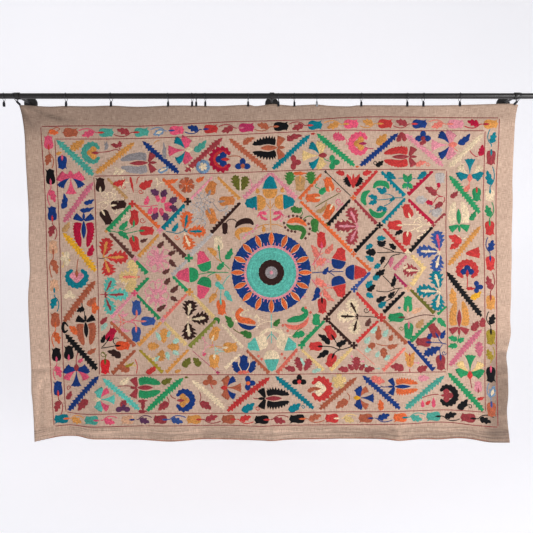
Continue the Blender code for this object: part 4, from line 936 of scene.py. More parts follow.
# stems and tendrils: thread, points
tendrils = (
    ("maroon", ((98, 152.5), (108, 151.5), (115, 149.5), (120, 150.5)),), ("maroon", ((120, 150.5), (119.5, 148.5), (118, 147)),), ("amber", ((153, 144), (156, 140.6), (160, 140.4)),),
    ("rust", ((227, 156), (234, 155), (240, 156), (242, 161)),), ("green", ((322, 155), (326, 159), (332, 161)),),
    ("magenta", ((364, 146), (370, 148), (375, 148)),), ("salmon", ((451, 145), (454, 149), (458, 152)),),
    ("crimson", ((478, 156), (475, 157), (471, 154), (468, 149.5)),), ("salmon", ((469, 180), (468, 187), (465, 192)),),
    ("cream", ((458, 235), (461, 238.5), (464.5, 238.5), (467, 235)),), ("red", ((467, 276), (467.5, 282), (467, 288)),),
    ("green", ((459.5, 334), (458, 339), (457, 344)),), ("maroon", ((469.2, 377), (470, 383), (471, 388.5)),),
    ("rust", ((78, 258), (77, 264), (76.5, 272)),), ("black", ((81, 299), (82, 306), (84, 312), (85, 320)),),
    ("black", ((119, 338.5), (114, 338.5), (112.8, 342), (115.5, 345.5)),), ("salmon", ((316.5, 276), (320.5, 284), (327, 291)),), ("salmon", ((316.3, 271), (314.5, 263), (317, 257), (325, 252)),), ("salmon", ((316.5, 268), (319, 265)),), ("pink", ((134, 205), (146, 206), (158, 204.5)),), ("darkGreen", ((292, 338), (298, 331), (303, 329)),), ("maroon", ((76.8, 366), (76.5, 358), (78.5, 352)),),
    ("maroon", ((117, 386.5), (126, 386), (135, 387.5)),), ("maroon", ((166, 397), (168, 400), (169, 404)),),
    ("maroon", ((176, 399.5), (172, 398), (169.5, 395)),), ("maroon", ((199, 392), (200.5, 398), (199, 404)),),
    ("red", ((209.5, 383), (211, 387), (213, 390)),), ("maroon", ((259, 399.5), (255, 399.5), (252, 398.5)),),
    ("rust", ((347, 393), (350, 397), (349, 402)),), ("navy", ((389, 387), (384, 387.5), (380, 386)),),
    ("maroon", ((439, 394), (430, 395), (421, 398)),), ("red", ((136, 184), (137, 178), (140, 176)),),
    ("green", ((106, 231), (112, 231), (118, 232), (129, 228)),), ("green", ((118, 232), (126, 233), (138, 230.5)),),
    ("green", ((129, 228), (133, 226), (133, 225)),), ("teal", ((164, 231), (171, 232), (177, 233), (184, 230)),),
    ("amber", ((270, 198), (270.5, 214), (271, 231)),), ("amber", ((266, 202), (268, 205), (270, 208)),), ("amber", ((274.5, 201.5), (272.5, 205), (270.5, 208)),),
    ("amber", ((270, 224), (263, 224.5), (256, 228)),), ("amber", ((270.5, 224), (277, 224), (284, 227)),),
    ("green", ((321, 188), (316, 186), (318, 182)),), ("olive", ((315, 207), (323, 202), (332, 197), (341, 192)),),
    ("darkBrown", ((225, 223), (228, 219.5), (233, 218.8), (237, 222)),), ("darkGreen", ((301, 223), (305, 217.5), (311, 215.5), (315, 219)),), ("darkGreen", ((299, 217), (303, 213), (301, 209)),),
    ("green", ((197, 274.7), (210, 272.5), (229, 272.5)),), ("green", ((206, 271.5), (212, 272), (215, 272.4)),), ("green", ((206, 277), (211, 274), (215, 272.6)),),
    ("green", ((218.5, 250), (220, 260), (226, 266), (230, 270)),), ("turquoise", ((220, 299.8), (221, 288), (226, 279), (230, 275)),),
    ("amber", ((222, 262), (215.5, 258), (211, 251)),), ("amber", ((223, 284), (218, 288), (213, 298)),),
    ("navy", ((311, 273), (325, 272), (345, 271.5)),), ("navy", ((336, 268.5), (331, 271), (328, 272)),), ("navy", ((336, 276.5), (331, 273), (328, 272)),),
    ("pink", ((312, 266), (318, 258), (322.5, 248)),), ("pink", ((312, 279), (318, 288), (322.5, 298)),),
    ("cream", ((434, 225), (420, 224.5), (403, 224)),), ("cream", ((424, 224.5), (416, 220), (408, 218)),), ("cream", ((424, 225), (416, 229), (409, 231)),),
    ("cream", ((431, 224), (424, 217), (417, 213), (421, 210)),), ("cream", ((431, 227), (424, 234), (418, 237), (422, 240)),),
    ("cream", ((414, 224), (418, 218), (426, 219)),), ("cream", ((414, 227), (420, 231), (427, 230)),),
    ("teal", ((405, 197.5), (396, 197.5), (386, 199), (377, 199.5)),), ("teal", ((396, 197.5), (390, 194), (384, 193.5)),),
    ("teal", ((395, 198), (390, 203), (384, 206)),), ("teal", ((408, 190), (408, 182), (404, 178), (398, 178)),), ("teal", ((408, 184), (412, 179), (417, 178)),),
    ("crimson", ((444, 196.5), (438, 197), (433, 204)),), ("crimson", ((442, 197), (436, 193), (439, 187)),), ("crimson", ((444, 196.5), (445, 200), (443, 203)),),
    ("black", ((407, 253.5), (396, 252), (384, 252.5), (377, 252.5)),), ("black", ((396, 252), (389, 249), (383, 247)),), ("black", ((402, 253.5), (393, 256), (389, 262), (384, 269)),),
    ("black", ((99.8, 348.5), (107, 347.5), (115, 346)),), ("black", ((101, 348), (104, 345), (107, 341)),), ("olive", ((101, 352), (105, 355), (105, 359)),),
    ("pink", ((129, 321), (134, 321), (140, 321.5)),), ("pink", ((130, 320.5), (134, 319), (136, 316)),), ("pink", ((130, 322), (134, 324), (135.5, 327)),),
    ("red", ((134.3, 359), (136.7, 366), (136, 374.8)),), ("amber", ((208, 349), (215, 347), (222.4, 348.5)),), ("amber", ((210, 348), (212, 345), (211.5, 341)),),
    ("olive", ((232, 329), (238, 333), (245, 336)),), ("green", ((300, 346), (306, 338), (313, 332), (317, 325.5)),),
    ("black", ((404, 288), (396, 289), (388, 292), (376, 291)),), ("black", ((400, 288.5), (394, 297), (386, 302)),), ("black", ((396, 289), (389, 281), (383, 275)),),
    ("brown", ((401, 317), (407, 319.6), (416, 317), (425.5, 315), (436.4, 316.2)),), ("navy", ((447.2, 344.2), (440, 343), (431.5, 342.5)),),
    ("navy", ((443, 343.5), (440, 341), (438.5, 337.5)),), ("navy", ((443, 344), (440, 349), (440.5, 354.8)),),
    ("black", ((354, 346.7), (341.2, 350.3), (332, 347.5), (323, 347)),), ("black", ((341.2, 350.3), (338, 345), (335, 340)),),
    ("black", ((341.2, 350.3), (337, 352), (334.5, 354.5)),), ("rust", ((400, 344), (392, 346), (384, 346), (376, 344)),),
    ("crimson", ((410.3, 368), (410, 371), (411, 373.4)),), ("turquoise", ((271.5, 345), (271.5, 334), (271.3, 314)),),
    ("turquoise", ((265, 342), (268, 338), (271.3, 334)),), ("turquoise", ((278.5, 342), (275, 338), (271.3, 334)),), ("pink", ((346, 138), (347.5, 141.5), (345.5, 144.5)),),
    ("rust", ((57, 133), (61, 130), (57.5, 128.5), (50.5, 133), (49.5, 137)),),
    ("cream", ((103, 196), (109, 192), (115, 196), (111, 201), (105, 200)),), ("cream", ((114, 214), (121, 210), (130, 215), (126, 222)),),
    ("cream", ((97, 204), (104, 201), (108, 205)),), ("cream", ((112, 190), (119, 187), (126, 191), (121, 196)),),
    ("grey", ((190, 224), (197, 218), (205, 221), (203, 228)),), ("grey", ((191, 203), (198, 207), (203, 212), (200, 219)),),
    ("grey", ((212, 202), (219, 210), (226, 207)),), ("lightPink", ((140, 262), (146, 268), (154, 272), (162, 264)),),
    ("lightPink", ((138, 256), (143, 250), (150, 246)),), ("lightPink", ((165, 278), (158, 283), (150, 281)),),
    ("lightPink", ((250, 199), (257, 204), (262, 212), (270, 208)),), ("lightPink", ((290, 199), (283, 204), (278, 212), (270.5, 208)),),
    ("darkBrown", ((380, 318), (370, 317), (358, 316.5), (348, 316.5)),), ("crimson", ((99, 295), (103, 294.6), (108, 295)),),
    ("brown", ((97, 258), (101, 258.4), (106, 257.5)),), ("cream", ((120, 282), (127, 285), (133, 283)),), ("cream", ((150, 296), (146, 300), (149, 306), (157, 308)),),
    ("lightPink", ((312, 280), (318, 282), (326, 284), (334, 287)),), ("lightPink", ((312, 265), (320, 262), (331, 259)),),
)

# spirals: thread, x, y, radius, start in degrees
spirals = (
    ("maroon", 289, 136, 2.4, 30), ("pink", 336, 137, 2.6, 30), ("black", 376, 162, 2.6, 0), ("rust", 245.5, 139, 2.4, 0),
    ("maroon", 70, 387, 2.4, 90), ("red", 257.5, 409, 2.4, 0), ("teal", 303.5, 408, 2, 180), ("black", 468.7, 405.8, 2.4, 200),
    ("red", 122.5, 186, 2.6, 0), ("red", 140, 191, 2.6, 0), ("red", 141.5, 220, 3.2, 0), ("orange", 176, 237, 3, 0), ("red", 339, 189, 2.8, 0),
    ("pink", 339.5, 201, 4.4, 0), ("darkBrown", 367, 310.6, 3, 0), ("olive", 402, 328.5, 2.4, 0), ("navy", 444, 353, 2.4, 0),
    ("olive", 103, 354, 3.4, 0), ("maroon", 471, 399, 1.6, 0), ("salmon", 428, 164, 2.2, 0), 
)

# shapes of changing width: thread, points, widths
scrolls = (
    ("darkBrown", ((234.5, 228), (238, 223), (244, 220.5), (250, 221), (253.5, 224.5)), (1, 5, 6.4, 5.4, 1.6)), ("black", ((69, 327), (64.5, 322.5), (63, 328), (65, 332), (68.5, 329.5)), (1, 2.8, 3.2, 3, 1)), ("darkGreen", ((213, 322), (215, 319.5), (218, 320.5), (218, 325)), (1.5, 3.6, 3.6, 1)), ("cream", ((260, 345), (261, 336), (267, 331), (276, 331), (283, 336), (284, 345)), (2, 3.6, 3.6, 3.6, 3.6, 2)),
    ("amber", ((253, 228), (247, 229), (240, 230), (236.5, 234), (240, 240)), (1.4, 5, 6, 5, 1.4)),
    ("orange", ((287, 222.5), (291, 220.5), (297, 219.5), (303, 222), (307.5, 226)), (1, 5, 6, 5, 1)),
    ("darkGreen", ((286, 223.5), (292, 227), (300, 227.5), (304.5, 231.5), (301, 239.5)), (1.6, 5, 6, 5, 3)),
    ("orange", ((256, 324), (248, 321.5), (240, 320), (236.8, 314.5), (242.5, 308.5)), (3, 6.4, 6.4, 3.8, 5)),
    ("navy", ((237, 323), (243, 326.8), (250, 328.6), (256.5, 326.5)), (1, 4.6, 4.6, 1)),
    ("green", ((287, 322), (294, 320), (302, 318.5), (307, 313), (301.5, 308.5)), (3, 6.6, 6.6, 4.2, 5)),
    ("coral", ((284, 324), (290, 327.5), (298, 328), (305.5, 324), (309.5, 317)), (1, 4.6, 5, 4.6, 1)),
    ("green", ((374, 188), (378, 183), (386, 183.5), (390, 188.5)), (2, 6, 6, 2)),
    ("green", ((371, 190), (365.5, 193.5), (364, 199.5), (367, 205)), (2, 6, 6, 2)),
    ("green", ((370, 208), (374.5, 213.5), (381, 215), (387.5, 210)), (2, 6, 6, 2)),
)

# dots of petals round the crescents and bells: thread, radius, points
specks = (
    ("brown", 1.5, ((284.3, 222.5), (285.4, 227), (288.3, 229.8), (291.8, 230.8), (295.4, 231.4), (289.3, 215.9), (293.4, 215.2), (297.5, 215.8), (301.5, 217.4), (305.5, 220), (309.2, 223.4), (310.4, 228.4), (309.6, 233.6), (306, 238))),
    ("lightPink", 1.5, ((255.5, 228), (252.5, 231), (249, 233), (245.5, 234.5), (243.5, 237.5), (257, 225))),
    ("cream", 1.5, ((233, 313), (233.5, 318), (235.5, 322), (258.5, 321), (255, 318), (250.5, 316.5), (246, 315.5), (243, 313))),
    ("coral", 1.6, ((258.5, 357), (261.5, 360), (282, 355), (285, 359), (283, 326), (288, 331.5), (311, 313), (306, 308.5))),
    ("cream", 1.2, ((256, 190), (284, 189))),
)

# pale wandering lines that fill the ground: thread, x, y, width, height, turns
wanderings = (
    ("cream", 111, 200, 24, 26, 16), ("cream", 124, 216, 14, 12, 8), ("paleGrey", 199, 208, 22, 32, 30), ("grey", 203, 200, 22, 20, 16), ("paleGrey", 226, 210, 14, 12, 12), ("paleGrey", 200, 214, 22, 18, 14),
    ("lightPink", 158, 259, 25, 28, 26, 1.5), ("lightPink", 156, 296, 25, 34, 28, 1.5), ("salmon", 122, 322, 18, 18, 10), ("cream", 124, 182, 8, 12, 5), ("cream", 158, 182, 10, 10, 6),
    ("lightPink", 253, 186, 14, 20, 8), ("lightPink", 290, 197, 12, 16, 7), ("lightPink", 257, 205, 18, 10, 7), ("lightPink", 284, 216, 14, 12, 7),
    ("cream", 125, 281, 20, 18, 12), ("paleYellow", 128, 366, 14, 10, 8), ("paleYellow", 150, 359, 10, 8, 5), ("lightPink", 122, 322, 18, 20, 12),
    ("cream", 262, 322, 22, 14, 10), ("cream", 284, 336, 16, 16, 9), ("mint", 217, 352, 16, 16, 8), ("lightPink", 206, 346, 14, 18, 9),
    ("cream", 423, 224, 16, 16, 10), ("lightPink", 341, 204, 12, 12, 8), ("lightPink", 325, 262, 16, 16, 8), ("salmon", 325, 288, 16, 16, 8),
    ("lightPink", 356, 362, 16, 12, 7), ("mint", 371, 369, 18, 6, 6), ("cream", 345, 226, 12, 16, 5), ("grey", 433, 208, 14, 12, 6),
    ("lightPink", 299, 297, 16, 14, 7), ("cream", 243, 311, 12, 12, 6), ("paleYellow", 65, 260, 9, 16, 7), ("cream", 461, 165, 6, 12, 4),
    ("cream", 118, 170, 16, 8, 7), ("grey", 106, 146, 6, 10, 4), ("cream", 201, 165, 10, 8, 6), ("lightPink", 413, 363, 12, 10, 5),
)


def wander(thread, x, y, width, height, turns, thick=0.9):
    # one thin line that loops its way round an oval, with small knots
    loops = max(3, round(turns / 3))
    start = chance.uniform(0, 2 * math.pi)
    points = []
    for step in range(loops * 7 + 1):
        round_ = start + 2 * math.pi * step / (loops * 7)
        loop = -round_ * (loops - 1)
        reach = chance.uniform(0.94, 1.06)
        points.append((x + (0.6 * math.cos(round_) + 0.38 * math.cos(loop)) * reach * width / 2,
                       y + (0.6 * math.sin(round_) + 0.38 * math.sin(loop)) * reach * height / 2))
    stem(thread, points, thick)
    for spot in points[3::7]:
        dot(thread, *spot, thick * 1.4)


def sewField():
    for line in frameLines:
        stem("lineRed", line, 1.15)
    hem = np.array(bottomEdge[1:-1]) - (0, 0.9)
    stem("rust", hem, 0.55)
    for row in bars:
        bar(*row)
    for row in latticeLines:
        saw(*row)
    for thread, points, width in plainLines:
        stem(thread, points, width)
    for row in nodes:
        star(*row)
    for row in fans:
        fan(*row)
    for row in carnations:
        carnation(*row)
    for row in palmettes:
        palmette(*row)


def sewCells():
    # what fills the cells and the spaces between the larger flowers
    rosette("rust", "orange", 186, 184.5, 8.2)
    star("paleBlue", 202.5, 166, 7.4, 7, 10)
    star("cream", 202.5, 166, 4.4, 5, 30, 1)
    star("paleYellow", 339.5, 382, 7.6, 5, -90)
    petal("red", 465.5, 253.5, 480, 252.5, 0.5, 6, 0, 0.2, 0.7)
    stem("cream", [(239, 359.8), (238.2, 365.5), (241.8, 372)], 1.0, 1)
    stem("cream", [(248.8, 359.8), (249.3, 366.4), (245.6, 372.9)], 1.0, 1)
    for thread, points in tendrils:
        stem(thread, points)
    for row in wanderings:
        wander(*row)
    for row in leaves:
        leaf(*row)
    for row in oaks:
        oak(*row)
    for row in tulips:
        tulip(*row)
    for x0, y0, x1, y1, width, foot, mouth in bells:
        twoTone(x0, y0, x1, y1, width, foot, mouth)
    for row in buds:
        clover(*row)
    for row in spirals:
        curl(*row)
    for thread, points, widths in scrolls:
        ribbon(thread, points, widths)
    for thread, radius, points in specks:
        for x, y in points:
            dot(thread, x, y, radius)


# the round medallion at the middle, radii in picture points
medallion = {"x": 271.4, "y": 272.6, "outer": 40.6, "petalFoot": 27.2, "turquoise": 25.2, "brown": 13, "grey": 6.2, "petals": 16}


def ring(thread, x, y, inner, outer, layer=0, rows=None, jag=0.0):
    # stitches laid round and round in concentric rows
    rows = rows or max(1, round((outer - inner) / 2.4))
    width = (outer - inner) / rows
    steps = 64
    for row in range(rows):
        radius = inner + width * (row + 0.5)
        half = np.full(steps + 1, width * 0.58)
        edge = half * (1 + (jag * (np.arange(steps + 1) % 4 - 1.5) if row == rows - 1 else 0))
        strip(thread, arc(x, y, radius, -6, 366, steps), edge, half, layer)


def sewMedallion():
    x, y, count = medallion["x"], medallion["y"], medallion["petals"]
    foot, outer = medallion["petalFoot"], medallion["outer"]
    pitch = 360 / count
    for index in range(count):
        middle = pitch * (index + 0.5) - 90
        base = turned(x, y, middle, foot)
        tip = turned(x, y, middle, outer)
        reach = math.radians(pitch) / 2
        petal("navy", *base, *tip, foot * reach * 0.98, outer * reach * 0.99, 0, 0.13, 1.0)
        for side in (-0.17, 0.17):
            angle = middle + pitch * side
            finger = [turned(x, y, angle, foot + reach_) for reach_ in (-1.5, 1.5, 4.6)]
            stem("lightPink", finger, 1.8, 1)
        between = pitch * index - 90
        start = turned(x, y, between, foot + 0.2)
        end = turned(x, y, between, outer + 0.4)
        lens("cream", *start, *end, 5.8, 1)
        lens("orange", *start, *end, 4.2, 2)
    ring("turquoise", x, y, medallion["brown"], medallion["turquoise"])
    ring("lightPink", x, y, medallion["turquoise"], foot, 0, 1, 0.2)
    ring("darkBrown", x, y, medallion["grey"], medallion["brown"], 0, 3, 0.28)
    ring("grey", x, y, 1.6, medallion["grey"], 0, 2, 0.28)
    dot("lightPink", x, y, 1.8, 1)


def threadLists(pile):
    spots = np.vstack(pile["spots"])
    x, y, z = onCloth(spots)
    front = np.stack((x, y - np.concatenate(pile["lift"]), z), axis=1)
    return front


def makeStitches(thread, finish):
    pile = piles[thread]
    front = threadLists(pile)
    faces = np.vstack(pile["faces"])
    uv = np.vstack(pile["uv"])
    tone = np.concatenate(pile["tone"])
    backSpots, backUv, backFaces, backLift, first = [], [], [], [], len(front)
    for spots, u, v, fullness in pile["back"]:
        count, wide = spots.shape[:2]
        grid = first + np.arange(count * wide).reshape(count, wide)
        backFaces.append(np.stack((grid[:-1, :-1], grid[1:, :-1], grid[1:, 1:], grid[:-1, 1:]), axis=2).reshape(-1, 4))
        middle = spots.mean(axis=1, keepdims=True)
        backSpots.append((middle + (spots - middle) * 0.86).reshape(-1, 2))
        backUv.append(np.stack((u.ravel(), v.ravel()), axis=1))
        lift = np.full((count, wide), stitch["rim"])
        lift[1:-1, wide // 2] = stitch["behind"]
        backLift.append(lift.ravel())
        first += count * wide
    if backSpots:
        x, y, z = onCloth(np.vstack(backSpots))
        behind = np.stack((x, y + hanging["thickness"] + np.concatenate(backLift), z), axis=1)
        points = np.vstack((front, behind))
        allFaces = np.vstack((faces, np.vstack(backFaces)))
        uv = np.vstack((uv, np.vstack(backUv)))
        tone = np.concatenate((tone, np.full(len(allFaces) - len(faces), 0.5)))
    else:
        points, allFaces = front, faces
    mesh = bpy.data.meshes.new(f"stitches_{thread}")
    mesh.from_pydata(points.tolist(), [], allFaces.tolist())
    layer = mesh.uv_layers.new(name="thread")
    layer.data.foreach_set("uv", uv[allFaces.ravel()].ravel())
    shade = mesh.attributes.new("tone", "FLOAT", "FACE")
    shade.data.foreach_set("value", tone)
    mesh.shade_smooth()
    mesh.materials.append(finish)
    mesh.validate()
    item = bpy.data.objects.new(f"stitches_{thread}", mesh)
    bpy.context.collection.objects.link(item)
    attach(item, "root")
    return item


# finishes

def toLinear(shade):
    return tuple(((v / 255) / 12.92 if v / 255 <= 0.04045 else ((v / 255 + 0.055) / 1.055) ** 2.4) for v in shade)


def node(tree, kind, place, **values):
    made = tree.nodes.new(kind)
    made.location = place
    for name, value in values.items():
        if hasattr(made, name):
            setattr(made, name, value)
        else:
            made.inputs[name.replace("_", " ")].default_value = value
    return made


def stitchGroup():
    # rows of small stitches: varies a thread's colour at random, paints shade into the grooves between the stitches,
    # and gives their height
    group = bpy.data.node_groups.new("stitchRows", "ShaderNodeTree")
    group.interface.new_socket("Colour", in_out="INPUT", socket_type="NodeSocketColor")
    group.interface.new_socket("Tone", in_out="INPUT", socket_type="NodeSocketFloat")
    group.interface.new_socket("Colour", in_out="OUTPUT", socket_type="NodeSocketColor")
    group.interface.new_socket("Height", in_out="OUTPUT", socket_type="NodeSocketFloat")
    link = group.links.new
    start = node(group, "NodeGroupInput", (-900, 0))
    end = node(group, "NodeGroupOutput", (700, 0))
    map_ = node(group, "ShaderNodeUVMap", (-900, -200))
    map_.uv_map = "thread"
    rows = node(group, "ShaderNodeTexBrick", (-600, -150))
    rows.offset = 0.5
    for name, value in (("Scale", 1.0), ("Mortar Size", 0.00016), ("Mortar Smooth", 1.0), ("Brick Width", 0.0062),
                        ("Row Height", 0.0019)):
        rows.inputs[name].default_value = value
    rows.inputs["Color1"].default_value = (0.5, 0.5, 0.5, 1)
    rows.inputs["Color2"].default_value = (1.15, 1.15, 1.15, 1)
    # the mortar colour is painted shade in the grooves between the stitches
    rows.inputs["Mortar"].default_value = (0.34, 0.34, 0.34, 1)
    link(map_.outputs[0], rows.inputs["Vector"])
    place = node(group, "ShaderNodeTexCoord", (-900, -500))
    patch = node(group, "ShaderNodeTexNoise", (-600, -550), Scale=160.0, Detail=3.0)
    link(place.outputs["Object"], patch.inputs["Vector"])
    wearAndShade = node(group, "ShaderNodeMapRange", (-400, -550))
    wearAndShade.inputs["From Min"].default_value = 0.3
    wearAndShade.inputs["From Max"].default_value = 0.7
    wearAndShade.inputs["To Min"].default_value = 0.72
    wearAndShade.inputs["To Max"].default_value = 1.24
    link(patch.outputs["Fac"], wearAndShade.inputs["Value"])
    tone = node(group, "ShaderNodeMapRange", (-400, -800))
    tone.inputs["To Min"].default_value = 0.9
    tone.inputs["To Max"].default_value = 1.1
    link(start.outputs["Tone"], tone.inputs["Value"])
    shade = node(group, "ShaderNodeMath", (-200, -600), operation="MULTIPLY")
    link(wearAndShade.outputs[0], shade.inputs[0])
    link(tone.outputs[0], shade.inputs[1])
    mixRows = node(group, "ShaderNodeMix", (0, 0), data_type="RGBA", blend_type="MULTIPLY")
    mixRows.inputs[0].default_value = 0.55
    link(start.outputs["Colour"], mixRows.inputs[6])
    link(rows.outputs["Color"], mixRows.inputs[7])
    scale = node(group, "ShaderNodeVectorMath", (250, 0), operation="SCALE")
    link(mixRows.outputs[2], scale.inputs[0])
    link(shade.outputs[0], scale.inputs["Scale"])
    link(scale.outputs[0], end.inputs["Colour"])
    height = node(group, "ShaderNodeMath", (250, -300), operation="SUBTRACT")
    height.inputs[0].default_value = 1.0
    link(rows.outputs["Fac"], height.inputs[1])
    link(height.outputs[0], end.inputs["Height"])
    return group


def threadFinish(name, shade, group):
    finish = bpy.data.materials.new(f"thread_{name}")
    finish.use_nodes = True
    tree = finish.node_tree
    shader = tree.nodes["Principled BSDF"]
    shader.inputs["Roughness"].default_value = 0.6
    shader.inputs["Specular IOR Level"].default_value = 0.14
    rows = node(tree, "ShaderNodeGroup", (-500, 100))
    rows.node_tree = group
    rows.inputs["Colour"].default_value = (*toLinear(shade), 1)
    tone = node(tree, "ShaderNodeAttribute", (-750, -100))
    tone.attribute_name = "tone"
    tree.links.new(tone.outputs["Fac"], rows.inputs["Tone"])
    tree.links.new(rows.outputs["Colour"], shader.inputs["Base Color"])
    relief = node(tree, "ShaderNodeBump", (-250, -200))
    relief.inputs["Strength"].default_value = 0.6
    relief.inputs["Distance"].default_value = 0.0006
    tree.links.new(rows.outputs["Height"], relief.inputs["Height"])
    tree.links.new(relief.outputs["Normal"], shader.inputs["Normal"])
    return finish


def linenFinish():
    # coarse linen: two sets of yarns, slubs along both, a little random paling and darkening from place to place, and
    # painted light and shade
    finish = bpy.data.materials.new("slub_linen")
    finish.use_nodes = True
    tree = finish.node_tree
    link = tree.links.new
    shader = tree.nodes["Principled BSDF"]
    shader.inputs["Roughness"].default_value = 0.9
    shader.inputs["Sheen Weight"].default_value = 0.1
    weave = node(tree, "ShaderNodeUVMap", (-1500, 0))
    weave.uv_map = "weave"
    slubs = []
    for index, (stretchU, stretchV) in enumerate(((34.0, 760.0), (760.0, 34.0))):
        stretch = node(tree, "ShaderNodeMapping", (-1250, -300 * index))
        stretch.inputs["Scale"].default_value = (stretchU, stretchV, 1)
        link(weave.outputs[0], stretch.inputs["Vector"])
        slub = node(tree, "ShaderNodeTexNoise", (-1000, -300 * index), Scale=1.0, Detail=3.0, Roughness=0.6)
        link(stretch.outputs[0], slub.inputs["Vector"])
        slubs.append(slub)
    both = node(tree, "ShaderNodeMath", (-750, -100), operation="ADD")
    link(slubs[0].outputs["Fac"], both.inputs[0])
    link(slubs[1].outputs["Fac"], both.inputs[1])
    yarn = node(tree, "ShaderNodeMapRange", (-550, -100))
    yarn.inputs["From Min"].default_value = 0.78
    yarn.inputs["From Max"].default_value = 1.22
    yarn.inputs["To Min"].default_value = 0.0
    yarn.inputs["To Max"].default_value = 1.0
    link(both.outputs[0], yarn.inputs["Value"])
    fade = node(tree, "ShaderNodeTexNoise", (-1000, -700), Scale=5.0, Detail=4.0)
    link(weave.outputs[0], fade.inputs["Vector"])
    dyed = node(tree, "ShaderNodeMix", (-300, 0), data_type="RGBA")
    dyed.inputs[6].default_value = (*toLinear((166, 132, 112)), 1)
    dyed.inputs[7].default_value = (*toLinear((232, 200, 176)), 1)
    link(yarn.outputs[0], dyed.inputs[0])
    wearAndShade = node(tree, "ShaderNodeMapRange", (-550, -500))
    wearAndShade.inputs["From Min"].default_value = 0.3
    wearAndShade.inputs["From Max"].default_value = 0.7
    wearAndShade.inputs["To Min"].default_value = 0.93
    wearAndShade.inputs["To Max"].default_value = 1.05
    link(fade.outputs["Fac"], wearAndShade.inputs["Value"])
    scale = node(tree, "ShaderNodeVectorMath", (-50, 0), operation="SCALE")
    link(dyed.outputs[2], scale.inputs[0])
    link(wearAndShade.outputs[0], scale.inputs["Scale"])
    link(scale.outputs[0], shader.inputs["Base Color"])
    # puckers between the stitches, and long wrinkles in the bottom margin
    pucker = node(tree, "ShaderNodeTexNoise", (-1000, -950), Scale=30.0, Detail=3.0)
    link(weave.outputs[0], pucker.inputs["Vector"])
    draw = node(tree, "ShaderNodeMapping", (-1250, -1250))
    draw.inputs["Scale"].default_value = (5.0, 110.0, 1)
    link(weave.outputs[0], draw.inputs["Vector"])
    wrinkle = node(tree, "ShaderNodeTexNoise", (-1000, -1250), Scale=1.0, Detail=2.0)
    link(draw.outputs[0], wrinkle.inputs["Vector"])
    parts = node(tree, "ShaderNodeSeparateXYZ", (-1250, -1550))
    link(weave.outputs[0], parts.inputs[0])
    margin = node(tree, "ShaderNodeMapRange", (-1000, -1550), interpolation_type="SMOOTHSTEP")
    for name, value in (("From Min", 0.045), ("From Max", 0.075), ("To Min", 1.0), ("To Max", 0.0)):
        margin.inputs[name].default_value = value
    link(parts.outputs["Y"], margin.inputs["Value"])
    sharp = node(tree, "ShaderNodeMapRange", (-850, -1250), interpolation_type="SMOOTHSTEP")
    for name, value in (("From Min", 0.36), ("From Max", 0.62), ("To Min", 0.0), ("To Max", 1.0)):
        sharp.inputs[name].default_value = value
    link(wrinkle.outputs["Fac"], sharp.inputs["Value"])
    drawn = node(tree, "ShaderNodeMath", (-750, -1350), operation="MULTIPLY")
    link(sharp.outputs[0], drawn.inputs[0])
    link(margin.outputs[0], drawn.inputs[1])
    swell = node(tree, "ShaderNodeMath", (-550, -1100), operation="MULTIPLY_ADD")
    link(pucker.outputs["Fac"], swell.inputs[0])
    swell.inputs[1].default_value = 0.4
    link(drawn.outputs[0], swell.inputs[2])
    folds = node(tree, "ShaderNodeBump", (-450, -700))
    folds.inputs["Strength"].default_value = 0.8
    folds.inputs["Distance"].default_value = 0.006
    link(swell.outputs[0], folds.inputs["Height"])
    relief = node(tree, "ShaderNodeBump", (-250, -300))
    relief.inputs["Strength"].default_value = 0.5
    relief.inputs["Distance"].default_value = 0.0008
    link(yarn.outputs[0], relief.inputs["Height"])
    link(folds.outputs["Normal"], relief.inputs["Normal"])
    link(relief.outputs["Normal"], shader.inputs["Normal"])
    # painted shade and highlight: the wrinkles of the bottom margin are darker in their valleys and lighter on their
    # ridges, the bottom margin is darker as a whole, and the painted light and shade kept in the cloth's attribute is
    # multiplied in
    valley = node(tree, "ShaderNodeMath", (-550, -1500), operation="MULTIPLY_ADD")
    link(drawn.outputs[0], valley.inputs[0])
    valley.inputs[1].default_value = 0.26
    valley.inputs[2].default_value = 1.0
    lowered = node(tree, "ShaderNodeMath", (-400, -1500), operation="MULTIPLY_ADD")
    link(margin.outputs[0], lowered.inputs[0])
    lowered.inputs[1].default_value = -0.16
    link(valley.outputs[0], lowered.inputs[2])
    paintedLightNode = node(tree, "ShaderNodeAttribute", (-1000, -1850))
    paintedLightNode.attribute_name = "paintedLightAndShade"
    placed = node(tree, "ShaderNodeMath", (-400, -1750), operation="MULTIPLY")
    link(paintedLightNode.outputs["Fac"], placed.inputs[0])
    link(lowered.outputs[0], placed.inputs[1])
    darker = node(tree, "ShaderNodeMath", (-250, -500), operation="MULTIPLY")
    link(wearAndShade.outputs[0], darker.inputs[0])
    link(placed.outputs[0], darker.inputs[1])
    link(darker.outputs[0], scale.inputs["Scale"])
    return finish


